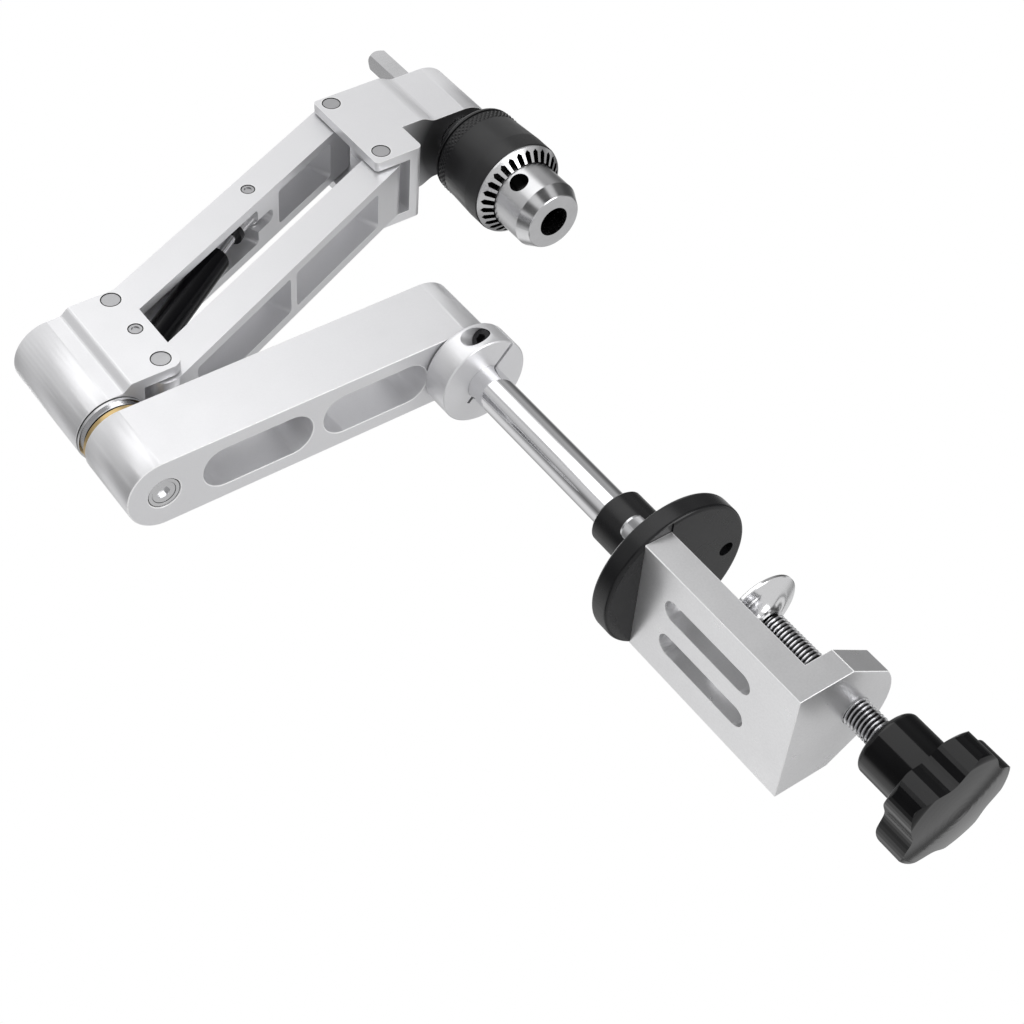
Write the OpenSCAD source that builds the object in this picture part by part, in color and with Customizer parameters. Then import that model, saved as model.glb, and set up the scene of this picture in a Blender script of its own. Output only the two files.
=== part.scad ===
// Arm tapping machine: a bench clamp, a column, a swinging lower arm and a
// parallelogram forearm with a gas strut that carries a keyed tap chuck.
// The origin is the centre of the flange's underside, on the column's axis.
// The arms are drawn folded over each other, with the forearm raised.

/* [Clamp bracket] */
// Distance from the column axis to the bracket's outer face
spine_face_x = 18.4; // [17:0.1:22]
// Thickness of the upright of the bracket
spine_t = 12.6; // [10:0.2:15]
// Width of the bracket
bracket_w = 56; // [50:1:62]
// Depth from the bench face to the underside of the jaw
bracket_drop = 85.2; // [78:0.2:100]
// Thickness of the lower jaw
jaw_t = 11.8; // [9:0.2:15]
// Distance from the column axis to the tip of the jaw
jaw_tip_reach = 31.4; // [28:0.2:36]
// Distance from the column axis to where the jaw starts to taper
jaw_taper_start = 6.8; // [2:0.2:12]
// Width of the jaw where its taper meets the round tip
jaw_tip_w = 28; // [24:0.5:34]
// Width of each slot in the upright
spine_slot_w = 9.8; // [6:0.2:12]
// Length of each slot in the upright
spine_slot_l = 48; // [30:1:52]
// Distance between the two slots, centre to centre
spine_slot_pitch = 19; // [16:0.5:24]
// Depth of the slots' upper ends below the bench face
spine_slot_drop = 14.5; // [12:0.5:20]

/* [Clamp screw] */
// Distance from the column axis to the clamp screw
screw_reach = 14.4; // [12:0.2:17]
// Outside diameter of the clamp screw
screw_d = 12; // [10:0.5:13]
// Depth of the pad's top below the bench face
pad_drop = 30; // [28:1:36]
// Diameter of the pad's rim
pad_d = 36; // [30:1:38]
// Height of the pad
pad_h = 7.6; // [7:0.1:9]
// Length of screw that shows between the jaw and the knob
screw_show = 15.4; // [15:0.2:24]
// Diameter of the knob's hub
knob_hub_d = 28; // [24:0.5:32]
// Height of the knob's hub
knob_hub_h = 22.6; // [18:0.2:28]
// Diameter across the knob's lobes
knob_d = 53; // [46:1:60]
// Height of the lobed part of the knob
knob_h = 15.2; // [12:0.2:20]
// Number of lobes on the knob
knob_lobes = 5; // [4:1:8]
// Direction of the knob's first lobe, as an angle from the arm
knob_turn = 33; // [0:1:72]

/* [Flange and column] */
// Diameter of the flange
flange_d = 67; // [62:0.5:76]
// Thickness of the flange
flange_t = 9.2; // [7:0.2:12]
// Diameter of the hub above the flange
hub_d = 24.4; // [23:0.2:28]
// Height of the hub above the flange
hub_h = 27.8; // [24:0.2:36]
// Diameter of the circle that the flange's three holes are on
flange_hole_circle_d = 50; // [46:0.5:54]
// Diameter of the flange's holes
flange_hole_d = 6.6; // [5:0.2:7]
// Diameter of the column
column_d = 16; // [14:0.2:17]

/* [Collar] */
// Outside diameter of the split collar
collar_d = 40.4; // [39:0.2:46]
// Height of the split collar
collar_h = 14.8; // [12:0.2:20]
// Direction of the collar's split, as an angle from the arm
collar_split_angle = 132; // [100:1:160]
// Width of the collar's split
collar_split_w = 1.6; // [1:0.1:2.5]

/* [Lower arm] */
// Height of the lower arm's underside above the bench face
arm_z = 140; // [120:1:180]
// Distance from the column to the elbow
arm_l = 140.1; // [134:0.1:170]
// Width of the lower arm, with full round ends
arm_w = 32.2; // [30:0.2:36]
// Height of the lower arm
arm_h = 34.2; // [30:0.2:40]
// Width of the two windows in the arm
arm_slot_w = 19.3; // [14:0.1:21]
// Length of each window in the arm
arm_slot_l = 50; // [40:0.5:51]
// Web between the two windows
arm_slot_web = 4.8; // [3:0.2:8]
// Distance from the elbow's axis to the first window
arm_slot_start = 17.1; // [16:0.1:19]

/* [Elbow] */
// Gap between the lower arm and the elbow bracket
elbow_gap = 7.3; // [5:0.1:9]
// Height of the elbow bracket
elbow_h = 52.9; // [52:0.1:62]
// Width across the ears of the elbow bracket and of the head
ear_w = 38.4; // [38:0.2:44]
// Diameter of the elbow's upright shaft
elbow_shaft_d = 12; // [10:0.5:13]
// Distance from the elbow's axis to the link pins
pin_reach = 26.6; // [26:0.1:32]
// Height of the lower link pin above the bracket's underside
pin_rise = 6.8; // [6:0.1:12]
// Distance from the pins to the ends of the ears
ear_end = 7; // [6:0.1:9]
// Distance from the pins to the wall between the ears
ear_root = 11.4; // [9.5:0.1:12]

/* [Links] */
// Distance between the pins of each link
link_l = 162; // [156:1:180]
// Distance between the upper and the lower link
link_pitch = 41.1; // [40:0.1:43]
// Width of the links
link_w = 27.2; // [26:0.2:30]
// Gap between a link and the ear on each side of it
link_side_gap = 0.8; // [0.3:0.1:1.2]
// Height of the links
link_h = 16; // [14:0.2:17]
// Depth of the links' middle line below their pins
link_drop = 0.8; // [0:0.1:1.4]
// Angle of the links above level
lift_angle = 24.2; // [18:0.2:30]
// Diameter of the four link pins
pin_d = 8; // [6:0.2:8.4]
// Thickness of the links' side walls
link_wall = 4.4; // [3:0.1:6]
// Thickness of the links' top, above the pockets
link_roof = 3; // [2:0.1:4]

/* [Gas strut] */
// Distance along the upper link to the strut's upper pin
strut_anchor = 95.4; // [92:0.2:98]
// Depth of the strut's upper pin below the line of the link's pins
strut_anchor_drop = 0.4; // [0:0.1:1]
// Diameter of the strut's cylinder
strut_d = 12.8; // [10:0.2:13.4]
// Diameter of the strut's rod
rod_d = 4.6; // [3:0.2:5]
// Diameter of the strut's two pins
strut_pin_d = 4; // [3:0.2:4.4]
// Distance from the lower strut pin to the cylinder's upper end
strut_cylinder_end = 72.9; // [68:0.5:76]

/* [Head] */
// Distance from the head's pins to the chuck's axis
head_reach = 51.8; // [50:0.2:58]
// Height of the round barrel that holds the spindle
barrel_h = 36.5; // [34:0.5:40]
// Diameter of the round barrel
barrel_d = 32.2; // [30:0.2:35]
// Height of the head above its upper pins
head_top_rise = 5.2; // [5:0.1:7]
// Depth of the head below its lower pins
head_low_drop = 6.8; // [5.2:0.1:9]
// Width across the flats of the spindle's square end
square_w = 8; // [6:0.2:9]
// Height of the spindle's top above the head
square_rise = 37; // [30:1:45]
// Diameter of the spindle in its bearings
spindle_d = 12; // [10:0.5:13]

/* [Chuck] */
// Distance from the head's barrel to the top of the chuck's sleeve
sleeve_gap = 9.2; // [8:0.2:12]
// Diameter of the sleeve at its top
sleeve_top_d = 44; // [43:0.5:48]
// Diameter of the sleeve at its bottom
sleeve_low_d = 46; // [45:0.5:50]
// Height of the sleeve
sleeve_h = 34.3; // [33.4:0.1:38]
// Height of the toothed ring
gear_h = 5.6; // [4.4:0.2:6.4]
// Number of teeth on the ring
gear_teeth = 28; // [24:2:40]
// Diameter of the chuck's body below the ring
chuck_d = 33.2; // [32.4:0.2:34]
// Depth of the chuck's nose below the sleeve
nose_drop = 28.2; // [27:0.2:30]
// Height of the bevel on the nose
nose_bevel_h = 6; // [4:0.2:8]
// Diameter of the nose's end face
nose_d = 27.4; // [25:0.2:30]
// Diameter of the chuck's opening
chuck_bore_d = 14.6; // [13.6:0.1:15]
// Diameter of the holes for the chuck key
key_hole_d = 9.1; // [5:0.1:9.4]
// Height of the key holes above the nose
key_hole_rise = 16.8; // [15.6:0.1:17.6]
// Lean of the jaws from the chuck's axis
jaw_lean = 15; // [14:0.5:16]
// Diameter of each jaw
jaw_d = 7; // [6.6:0.1:7.2]

/* [Hidden] */
$fn = 64;

// Overrun of every cut past the face that it opens
over = 1;
// Side clearance between flat faces that move past each other
side_clear = 0.3;
// Radial clearance of a shaft or pin that turns in its bore
run_clear = 0.05;
// Radial clearance of a piece that sits still in its seat
seat_clear = 0.02;
// Depth of the small chamfers at the mouths of holes
mouth_chamfer = 0.4;

// Least wall between a link pin and the top of its ear
pin_wall = 0.9;

// Places that the main sizes lead to
hub_top = flange_t + hub_h;
arm_top = arm_z + arm_h;
elbow_z = arm_top + elbow_gap;
pin_x = arm_l - pin_reach;
low_pin_z = elbow_z + pin_rise;
up_pin_z = low_pin_z + link_pitch;
elbow_top = max(elbow_z + elbow_h, up_pin_z + pin_d / 2 + pin_wall);
mid_pin_z = low_pin_z + link_pitch / 2;
head_pin_x = pin_x - link_l * cos(lift_angle);
head_up_z = up_pin_z + link_l * sin(lift_angle);
head_low_z = head_up_z - link_pitch;
head_top = head_up_z + head_top_rise;
head_bottom = head_low_z - head_low_drop;
barrel_z = head_top - barrel_h;
chuck_x = head_pin_x - head_reach;
sleeve_top_z = barrel_z - sleeve_gap;
sleeve_low_z = sleeve_top_z - sleeve_h;
nose_z = sleeve_low_z - nose_drop;
ear_gap_w = link_w + 2 * link_side_gap;
pocket_w = link_w - 2 * link_wall;

// Clamp bracket details
spine_in_x = spine_face_x - spine_t;
spine_mid_x = spine_face_x - spine_t / 2;
bracket_seat_h = 0.5;
bracket_seat_gap = 0.1;
jaw_tip_round_share = 0.155;
flange_screw_angle = 60;
spare_hole_angle = 180;
flange_screw_d = 6;
flange_screw_l = 20;
flange_screw_head_d = 10;
flange_screw_head_h = 6;
hex_depth_share = 0.6;
hex_width_share = 0.5;

// Clamp screw details
knob_top_z = -bracket_drop - screw_show;
knob_low_z = knob_top_z - knob_hub_h - knob_h;
knob_valley_share = 0.8;
knob_bend_share = 0.2;
knob_lobe_steps = 20;
knob_edge = 2.4;
knob_dome = 1.4;
knob_dome_steps = 8;
knob_bore_depth = 22;
ball_d = 6.8;
ball_neck_d = 4.6;
pad_rim_t = 1.6;
pad_shelf_share = 0.75;
pad_shelf_drop = 0.8;
pad_crown_t = 0.9;
pad_neck_wall = 2.9;
pad_flare_steps = 8;
thread_clear = 0.05;

// Flange and column details
column_seat_z = 4;
hub_edge = 0.8;
flange_edge = 1.6;
set_screw_rise = 14;
set_screw_angle = -135;
set_screw_d = 5;
set_screw_inset = 0.4;
set_screw_hex_w = 2.5;
set_screw_hex_depth = 2;
cap_t = 1.6;
cap_d = 22;
cap_screw_d = 6;
cap_screw_l = 16;
cap_screw_head_d = 11;
cap_screw_head_h = 1.5;
arm_recess_h = 3;
column_top = arm_top - arm_recess_h;

// Collar details
collar_z = arm_z - collar_h;
collar_round = 2.4;
collar_chamfer = 0.5;
collar_screw_offset = 14;
collar_screw_d = 5;
collar_screw_l = 18;
collar_head_d = 8.5;
collar_head_h = 5;
collar_head_seat = 4.4;
collar_relief_l = 3.4;
collar_arm_gap = 0.3;

// Bushes in the lower arm
bush_t = 2;
column_bush_l = 13;
elbow_bush_l = 12;

// Elbow details
elbow_step_l = 5.2;
elbow_flat_end = 10.6;
elbow_corner_r = 5;
ear_corner_r = 1.8;
fork_ease_steps = 8;
elbow_shaft_rise = 42;
thrust_brass_t = 2.2;
thrust_race_t = 1.8;
thrust_brass_d = 31;
thrust_race_d = 31.4;
thrust_seal_d = 28.6;
thrust_gap = 0.3;
retainer_d = 13.4;
retainer_drop = 4.6;
retainer_inset = 0.5;
retainer_gap = 0.4;
elbow_head_gap = 0.2;
elbow_head_inset = 0.2;
elbow_screw_d = 6;
elbow_screw_l = 14;
elbow_head_d = 10;
elbow_head_h = 2.6;

// Link details
link_corner_r = 1.8;
eye_slot_w = 6.6;
eye_slot_reach = 6.6;
eye_slot_back = 9;
eye_slot_roof = 2.4;
strut_pocket_start = 8.6;
strut_pocket_past = -4.8;
head_pocket_start = 11.1;
head_pocket_end = 14.2;
low_pocket_start = 11.6;
low_pocket_end = 15.6;
low_pocket_web = 4.2;
low_pocket_split_share = 0.507;
lift_rise_angle = 5;
strut_channel_gap = 0.9;
strut_boss_d = 5.8;
strut_boss_l = 3;
strut_pin_dimple_d = 3.4;
strut_pin_dimple_h = 0.5;
pin_inset = 0.1;

// Gas strut details
strut_eye_t = 5.6;
strut_eye_d = 10;
strut_low_eye_t = 12;
strut_low_eye_gap = 7;
strut_neck_d = 9;
strut_shoulder_r = 1.6;
rod_hidden_l = 30;
lock_nut_d = 8.6;
lock_nut_h = 3.2;
lock_nut_from_pin = 13.6;
open_pivot_clear = 0.9;
strut_top_eye_d = 9;
eye_shank_d = 6;

// Head details
yoke_wall = 6.4;
head_front = 6.8;
head_flat_end = 28;
head_step_l = 9;
yoke_round = 2.6;
bearing_d = 24;
bearing_h = 6;
bearing_inset = 1.4;
bearing_groove = 0.5;
bearing_groove_w = 2.2;
spindle_bore_d = 18;
spindle_collar_d = 15.4;
spindle_flange_d = 24;
spindle_nose_d = 13;
spindle_nose_l = 14;
square_chamfer = 1.5;
circlip_t = 1.1;
circlip_d = 16.4;

// Chuck details
chuck_back_d = 36.4;
chuck_back_gap = 2.2;
sleeve_lip_d = 33;
sleeve_lip_h = 2.4;
sleeve_round = 2.2;
sleeve_groove = 0.7;
sleeve_groove_z = 2.6;
sleeve_groove_h = 1.1;
sleeve_low_share = 0.25;
sleeve_high_share = 0.75;
gear_in_d = 34;
gear_rim_h = 1.2;
gear_slot_share = 0.62;
gear_slot_root_share = 0.8;
gear_slot_depth = 3;
gear_land = 1.1;
key_hole_depth = 5.6;
chuck_bore_l = 50;
jaw_face_clear = 0.1;
jaw_wedge_angle = 60;
jaw_back = 4;
jaw_l = 22;
jaw_min_gap = 1;
jaw_slot_over = 1.5;
nut_z_rise = 3;
nut_h = 8;
nut_gap = 0.25;
groove_d = 26;

// Strut geometry from the pins
anchor_x = pin_x - strut_anchor * cos(lift_angle)
    - strut_anchor_drop * sin(lift_angle);
anchor_z = up_pin_z + strut_anchor * sin(lift_angle)
    - strut_anchor_drop * cos(lift_angle);
strut_run = pin_x - anchor_x;
strut_climb = anchor_z - mid_pin_z;
strut_angle = atan2(strut_climb, strut_run);
strut_l = norm([strut_run, strut_climb]);

// Jaw geometry, with the chuck wide open
jaw_face_x = chuck_bore_d / 2 + jaw_face_clear;
jaw_travel = (jaw_face_x - jaw_min_gap) / sin(jaw_lean);
jaw_tip_z = nose_z + jaw_travel * cos(jaw_lean);
jaw_axis_x = jaw_face_x + jaw_back - jaw_d / 2 / cos(jaw_lean);

// Rod along Y, centred
module y_rod(d, w) {
    rotate([90, 0, 0]) cylinder(d = d, h = w, center = true);
}

// Ring between two diameters, standing on the ground plane
module ring(d_out, d_in, h) {
    difference() {
        cylinder(d = d_out, h = h);
        translate([0, 0, -over]) cylinder(d = d_in, h = h + 2 * over);
    }
}

// Flat rectangle with round corners, from x0 to x1 and centred on y
module round_rect(x0, x1, w, r) {
    translate([x0 + r, -w / 2]) square([x1 - x0 - 2 * r, w]);
    translate([x0, r - w / 2]) square([x1 - x0, w - 2 * r]);
    for (x = [x0 + r, x1 - r], y = [r - w / 2, w / 2 - r])
        translate([x, y]) circle(r = r);
}

// Flat slot with full round ends, from x0 to x1
module slot_shape(x0, x1, w) {
    translate([x0 + w / 2, -w / 2]) square([x1 - x0 - w, w]);
    translate([x0 + w / 2, 0]) circle(d = w);
    translate([x1 - w / 2, 0]) circle(d = w);
}

// Corner cutter along Y that leaves a round corner of radius r
// sx and sz point into the corner that is cut away
module y_corner_cut(x, z, r, sx, sz, w) {
    translate([x, 0, z]) rotate([90, 0, 0])
        linear_extrude(height = w + 2 * over, center = true)
            difference() {
                translate([min(0, sx * (r + over)), min(0, sz * (r + over))])
                    square(r + over);
                circle(r = r);
            }
}

// Frame of a link: x runs up the link from its elbow pin, z across it
module link_frame(z) {
    translate([pin_x, 0, z]) rotate([0, 0, 180])
        rotate([0, -lift_angle, 0]) children();
}

// Frame of the strut: x runs from its lower pin to its upper pin
module strut_frame() {
    translate([pin_x, 0, mid_pin_z]) rotate([0, 0, 180])
        rotate([0, -strut_angle, 0]) children();
}

// Frame of the chuck's axis
module chuck_frame(z) {
    translate([chuck_x, 0, z]) children();
}

// Hexagon socket cut of a cap screw, opening at z = 0 and going down
module hex_socket(w, depth) {
    translate([0, 0, -depth])
        cylinder(d = w / cos(30), h = depth + over, $fn = 6);
}

// Cap screw along -z with its head's top at z = 0
module cap_screw(head_d, head_h, d, l) {
    difference() {
        union() {
            translate([0, 0, -head_h]) cylinder(d = head_d, h = head_h);
            translate([0, 0, -head_h - l]) cylinder(d = d, h = l + head_h / 2);
        }
        hex_socket(head_d * hex_width_share, head_h * hex_depth_share);
    }
}

// Countersunk screw along -z with its head's top at z = 0
module countersunk_screw(head_d, head_h, d, l) {
    difference() {
        union() {
            translate([0, 0, -head_h])
                cylinder(d1 = d, d2 = head_d, h = head_h);
            translate([0, 0, -l]) cylinder(d = d, h = l - head_h / 2);
        }
        hex_socket(head_d * hex_width_share, head_h * hex_depth_share);
    }
}

// Half width of a bracket at x, easing from the wide ears to the barrel
function step_share(t) = (1 - cos(180 * t)) / 2;

// Outline of a forked bracket with a round barrel at the origin
// The ears reach to x = far and are flat down to x = flat
module fork_plan(far, flat, step_l, wide, round_d) {
    ease = [for (i = [0:fork_ease_steps])
        let(t = i / fork_ease_steps)
        [flat - step_l * t, wide / 2 - (wide - round_d) / 2 * step_share(t)]];
    upper = concat([[far, wide / 2]], ease, [[0, round_d / 2]]);
    lower = [for (i = [len(upper) - 1:-1:0]) [upper[i][0], -upper[i][1]]];
    polygon(concat(upper, lower));
    circle(d = round_d);
}

// Fasteners of the base stand on these places
module flange_screw_places() {
    for (a = [-flange_screw_angle, flange_screw_angle])
        rotate([0, 0, a]) translate([flange_hole_circle_d / 2, 0, 0])
            children();
}

// Upright and lower jaw of the bench clamp, one machined block
module clamp_bracket() {
    tip_sagitta = jaw_tip_reach - jaw_tip_inner();
    tip_r = (pow(jaw_tip_w / 2, 2) + pow(tip_sagitta, 2))
        / (2 * tip_sagitta);
    color("silver") difference() {
        union() {
            translate([spine_in_x, -bracket_w / 2, -bracket_drop])
                cube([spine_t, bracket_w, bracket_drop + bracket_seat_h]);
            translate([0, 0, -bracket_drop]) linear_extrude(height = jaw_t) {
                polygon([
                    [spine_in_x + over, -bracket_w / 2],
                    [spine_in_x + over, bracket_w / 2],
                    [-jaw_taper_start, bracket_w / 2],
                    [-jaw_tip_inner(), jaw_tip_w / 2],
                    [-jaw_tip_inner(), -jaw_tip_w / 2],
                    [-jaw_taper_start, -bracket_w / 2]
                ]);
                intersection() {
                    translate([tip_r - jaw_tip_reach, 0]) circle(r = tip_r);
                    translate([-jaw_tip_reach, -jaw_tip_w / 2])
                        square([tip_sagitta + over, jaw_tip_w]);
                }
            }
        }
        // Threaded hole for the clamp screw
        translate([-screw_reach, 0, -bracket_drop - over])
            cylinder(d = screw_d + 2 * thread_clear, h = jaw_t + 2 * over);
        // Two slots through the upright
        for (s = [-1, 1])
            translate([spine_mid_x, s * spine_slot_pitch / 2,
                       -spine_slot_drop - spine_slot_l])
                rotate([0, -90, 0])
                    linear_extrude(height = spine_t + 2 * over, center = true)
                        slot_shape(0, spine_slot_l, spine_slot_w);
        // Tapped holes in the top for the flange's screws
        flange_screw_places()
            translate([0, 0, -flange_screw_l])
                cylinder(d = flange_screw_d + 2 * seat_clear,
                         h = flange_screw_l + over);
    }
}

// Distance from the column axis to where the jaw's round tip starts
function jaw_tip_inner() = jaw_tip_reach - jaw_tip_w * jaw_tip_round_share;

// Black flange and hub, the clamp's upper jaw and the column's socket
module base_flange() {
    color([0.13, 0.13, 0.14]) difference() {
        rotate_extrude() {
            square([flange_d / 2 - flange_edge, flange_t]);
            translate([0, flange_edge])
                square([flange_d / 2, flange_t - 2 * flange_edge]);
            for (z = [flange_edge, flange_t - flange_edge])
                translate([flange_d / 2 - flange_edge, z])
                    circle(r = flange_edge);
            polygon([
                [0, 0],
                [hub_d / 2, 0],
                [hub_d / 2, hub_top - hub_edge],
                [hub_d / 2 - hub_edge, hub_top],
                [0, hub_top]
            ]);
        }
        // Shallow seat across the underside for the bracket's top
        translate([spine_in_x - bracket_seat_gap, -flange_d / 2 - over, -over])
            cube([spine_t + 2 * bracket_seat_gap, flange_d + 2 * over,
                  bracket_seat_h + over]);
        // Blind socket for the column
        translate([0, 0, column_seat_z])
            cylinder(d = column_d + 2 * seat_clear, h = hub_top);
        // Three holes for screws
        for (a = [-flange_screw_angle, flange_screw_angle, spare_hole_angle])
            rotate([0, 0, a])
                translate([flange_hole_circle_d / 2, 0, -over])
                    cylinder(d = flange_hole_d, h = flange_t + 2 * over);
        // Tapped hole for the column's set screw
        set_screw_place()
            translate([0, 0, column_d / 2 - over])
                cylinder(d = set_screw_d + 2 * seat_clear, h = hub_d / 2);
    }
}

// Axis of the set screw, pointing out of the hub
module set_screw_place() {
    translate([0, 0, flange_t + set_screw_rise])
        rotate([0, 0, set_screw_angle]) rotate([0, 90, 0]) children();
}

// Two cap screws that hold the flange on the bracket
module flange_screws() {
    color("lightgray") flange_screw_places()
        translate([0, 0, flange_t + flange_screw_head_h])
            cap_screw(flange_screw_head_d, flange_screw_head_h,
                      flange_screw_d, flange_screw_l + flange_t - over);
}

// Set screw that holds the column in the hub
module column_set_screw() {
    start = column_d / 2 + seat_clear;
    end = hub_d / 2 - set_screw_inset;
    color("dimgray") set_screw_place() difference() {
        translate([0, 0, start])
            cylinder(d = set_screw_d, h = end - start);
        translate([0, 0, end])
            hex_socket(set_screw_hex_w, set_screw_hex_depth);
    }
}

// Chrome column, with a tapped hole in its top
module column() {
    color("lightgray") difference() {
        translate([0, 0, column_seat_z])
            cylinder(d = column_d, h = column_top - column_seat_z);
        translate([0, 0, column_top - cap_screw_l])
            cylinder(d = cap_screw_d + 2 * seat_clear, h = cap_screw_l + over);
    }
}

// Disc on top of the column that keeps the arm from lifting off
module column_cap() {
    color("lightgray") translate([0, 0, column_top]) difference() {
        cylinder(d = cap_d, h = cap_t);
        translate([0, 0, -over])
            cylinder(d = cap_screw_d + 2 * seat_clear, h = cap_t + 2 * over);
        translate([0, 0, cap_t - cap_screw_head_h])
            cylinder(d1 = cap_screw_d, d2 = cap_screw_head_d,
                     h = cap_screw_head_h + seat_clear);
    }
}

// Countersunk screw of the column's cap
module column_cap_screw() {
    color("dimgray") translate([0, 0, column_top + cap_t])
        countersunk_screw(cap_screw_head_d - 2 * seat_clear,
                          cap_screw_head_h, cap_screw_d, cap_screw_l - over);
}

// Clamp screw with its ball end in the pad
module clamp_screw() {
    ball_z = -pad_drop - pad_crown_t - ball_d / 2;
    shoulder_z = -pad_drop - pad_h - side_clear;
    low = knob_top_z - knob_bore_depth;
    color("lightgray") translate([-screw_reach, 0, 0]) {
        translate([0, 0, ball_z]) sphere(d = ball_d);
        translate([0, 0, low]) cylinder(d = ball_neck_d, h = ball_z - low);
        translate([0, 0, low]) cylinder(d = screw_d, h = shoulder_z - low);
    }
}

// Flared chrome pad that swivels on the screw's ball
// A nearly flat shelf runs inward from its rim to a hollow flare
module clamp_pad() {
    top = -pad_drop;
    shelf_r = pad_d / 2 * pad_shelf_share;
    shelf_z = -pad_rim_t - pad_shelf_drop;
    neck_r = ball_d / 2 + pad_neck_wall;
    flare = [for (i = [0:pad_flare_steps])
        let(a = 90 * i / pad_flare_steps)
        [neck_r + (shelf_r - neck_r) * (1 - sin(a)),
         shelf_z - (pad_h + shelf_z) * (1 - cos(a))]];
    socket_z = -pad_crown_t - ball_d / 2;
    color("lightgray") translate([-screw_reach, 0, top]) difference() {
        rotate_extrude() polygon(concat(
            [[0, 0], [pad_d / 2, 0], [pad_d / 2, -pad_rim_t]], flare,
            [[0, -pad_h]]));
        translate([0, 0, socket_z]) sphere(d = ball_d + 2 * run_clear);
        translate([0, 0, -pad_h - over])
            cylinder(d = ball_d + 2 * run_clear,
                     h = pad_h + over + socket_z);
    }
}

// Outline of the lobed knob
module knob_plan() {
    valley = knob_d / 2 * knob_valley_share;
    mid = (knob_d / 2 + valley) / 2;
    swing = (knob_d / 2 - valley) / 2;
    steps = knob_lobes * knob_lobe_steps;
    polygon([for (i = [0:steps - 1])
        let(a = 360 * i / steps,
            w = cos(knob_lobes * (a - knob_turn)),
            r = mid + swing * (w + knob_bend_share * (1 - w * w)))
        [r * cos(a), r * sin(a)]]);
}

// Black star knob
module clamp_knob() {
    color([0.05, 0.05, 0.05]) translate([-screw_reach, 0, knob_low_z])
        difference() {
            union() {
                intersection() {
                    linear_extrude(height = knob_h) knob_plan();
                    rotate_extrude() knob_section();
                }
                rotate_extrude() translate([0, knob_h]) difference() {
                    translate([0, -over])
                        square([knob_hub_d / 2, knob_hub_h + over]);
                    translate([knob_hub_d / 2 - knob_edge,
                               knob_hub_h - knob_edge])
                        difference() {
                            square(knob_edge + over);
                            circle(r = knob_edge);
                        }
                }
            }
            translate([0, 0, knob_h + knob_hub_h - knob_bore_depth])
                cylinder(d = screw_d + 2 * seat_clear,
                         h = knob_bore_depth + over);
        }
}

// Half section of the knob's lobed part, with a domed end and round edges
module knob_section() {
    r = knob_d / 2;
    flat_r = r - knob_edge;
    dome_r = (pow(flat_r, 2) + pow(knob_dome, 2)) / (2 * knob_dome);
    dome = [for (i = [0:knob_dome_steps])
        let(x = flat_r * i / knob_dome_steps)
        [x, dome_r - sqrt(pow(dome_r, 2) - pow(x, 2))]];
    polygon(concat(dome, [[flat_r, knob_h], [0, knob_h]]));
    translate([0, knob_dome + knob_edge])
        square([r, knob_h - knob_dome - 2 * knob_edge]);
    for (z = [knob_dome + knob_edge, knob_h - knob_edge])
        translate([flat_r, z]) intersection() {
            circle(r = knob_edge);
            translate([0, -knob_edge]) square([knob_edge, 2 * knob_edge]);
        }
}

// Split clamp collar that carries the lower arm
module height_collar() {
    r = collar_d / 2;
    top = collar_h - collar_arm_gap;
    color("silver") translate([0, 0, collar_z]) difference() {
        rotate_extrude() difference() {
            polygon([
                [column_d / 2 + run_clear, 0],
                [r - collar_chamfer, 0],
                [r, collar_chamfer],
                [r, top],
                [column_d / 2 + run_clear, top]
            ]);
            translate([r - collar_round, top - collar_round]) difference() {
                square(collar_round + over);
                circle(r = collar_round);
            }
        }
        rotate([0, 0, collar_split_angle]) {
            translate([0, -collar_split_w / 2, -over])
                cube([r + over, collar_split_w, collar_h + 2 * over]);
            translate([-column_d / 2 - collar_relief_l, -collar_split_w / 2,
                       -over])
                cube([column_d / 2 + collar_relief_l, collar_split_w,
                      collar_h + 2 * over]);
            collar_screw_place() {
                translate([0, 0, -collar_head_h])
                    cylinder(d = collar_head_d + 2 * side_clear, h = r);
                translate([0, 0, -collar_head_h - collar_screw_l])
                    cylinder(d = collar_screw_d + 2 * seat_clear,
                             h = collar_screw_l + over);
            }
        }
    }
}

// Place of the collar's screw, across the split
module collar_screw_place() {
    translate([collar_screw_offset, -collar_head_seat - collar_head_h,
               (collar_h - collar_arm_gap) / 2])
        rotate([90, 0, 0]) children();
}

// Cap screw of the collar
module collar_screw() {
    color("dimgray") translate([0, 0, collar_z])
        rotate([0, 0, collar_split_angle]) collar_screw_place()
            cap_screw(collar_head_d, collar_head_h, collar_screw_d,
                      collar_screw_l - over);
}

// Lower arm with two windows and its bush seats
module lower_arm() {
    first = arm_l - arm_slot_start - arm_slot_l;
    second = first - arm_slot_web - arm_slot_l;
    column_seat_d = column_d + 2 * run_clear + 2 * bush_t;
    elbow_seat_d = elbow_shaft_d + 2 * run_clear + 2 * bush_t;
    color("silver") translate([0, 0, arm_z]) difference() {
        linear_extrude(height = arm_h) {
            translate([0, -arm_w / 2]) square([arm_l, arm_w]);
            circle(d = arm_w);
            translate([arm_l, 0]) circle(d = arm_w);
        }
        for (x = [first, second])
            translate([0, 0, -over]) linear_extrude(height = arm_h + 2 * over)
                slot_shape(x, x + arm_slot_l, arm_slot_w);
        translate([0, 0, -over])
            cylinder(d = column_seat_d + 2 * seat_clear,
                     h = arm_h + 2 * over);
        translate([0, 0, arm_h - arm_recess_h])
            cylinder(d = cap_d + 4 * side_clear, h = arm_recess_h + over);
        translate([arm_l, 0, -over])
            cylinder(d = retainer_d + 2 * retainer_gap,
                     h = retainer_drop + 2 * over);
        translate([arm_l, 0, retainer_drop])
            cylinder(d = elbow_seat_d + 2 * seat_clear,
                     h = arm_h - retainer_drop + over);
    }
}

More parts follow.
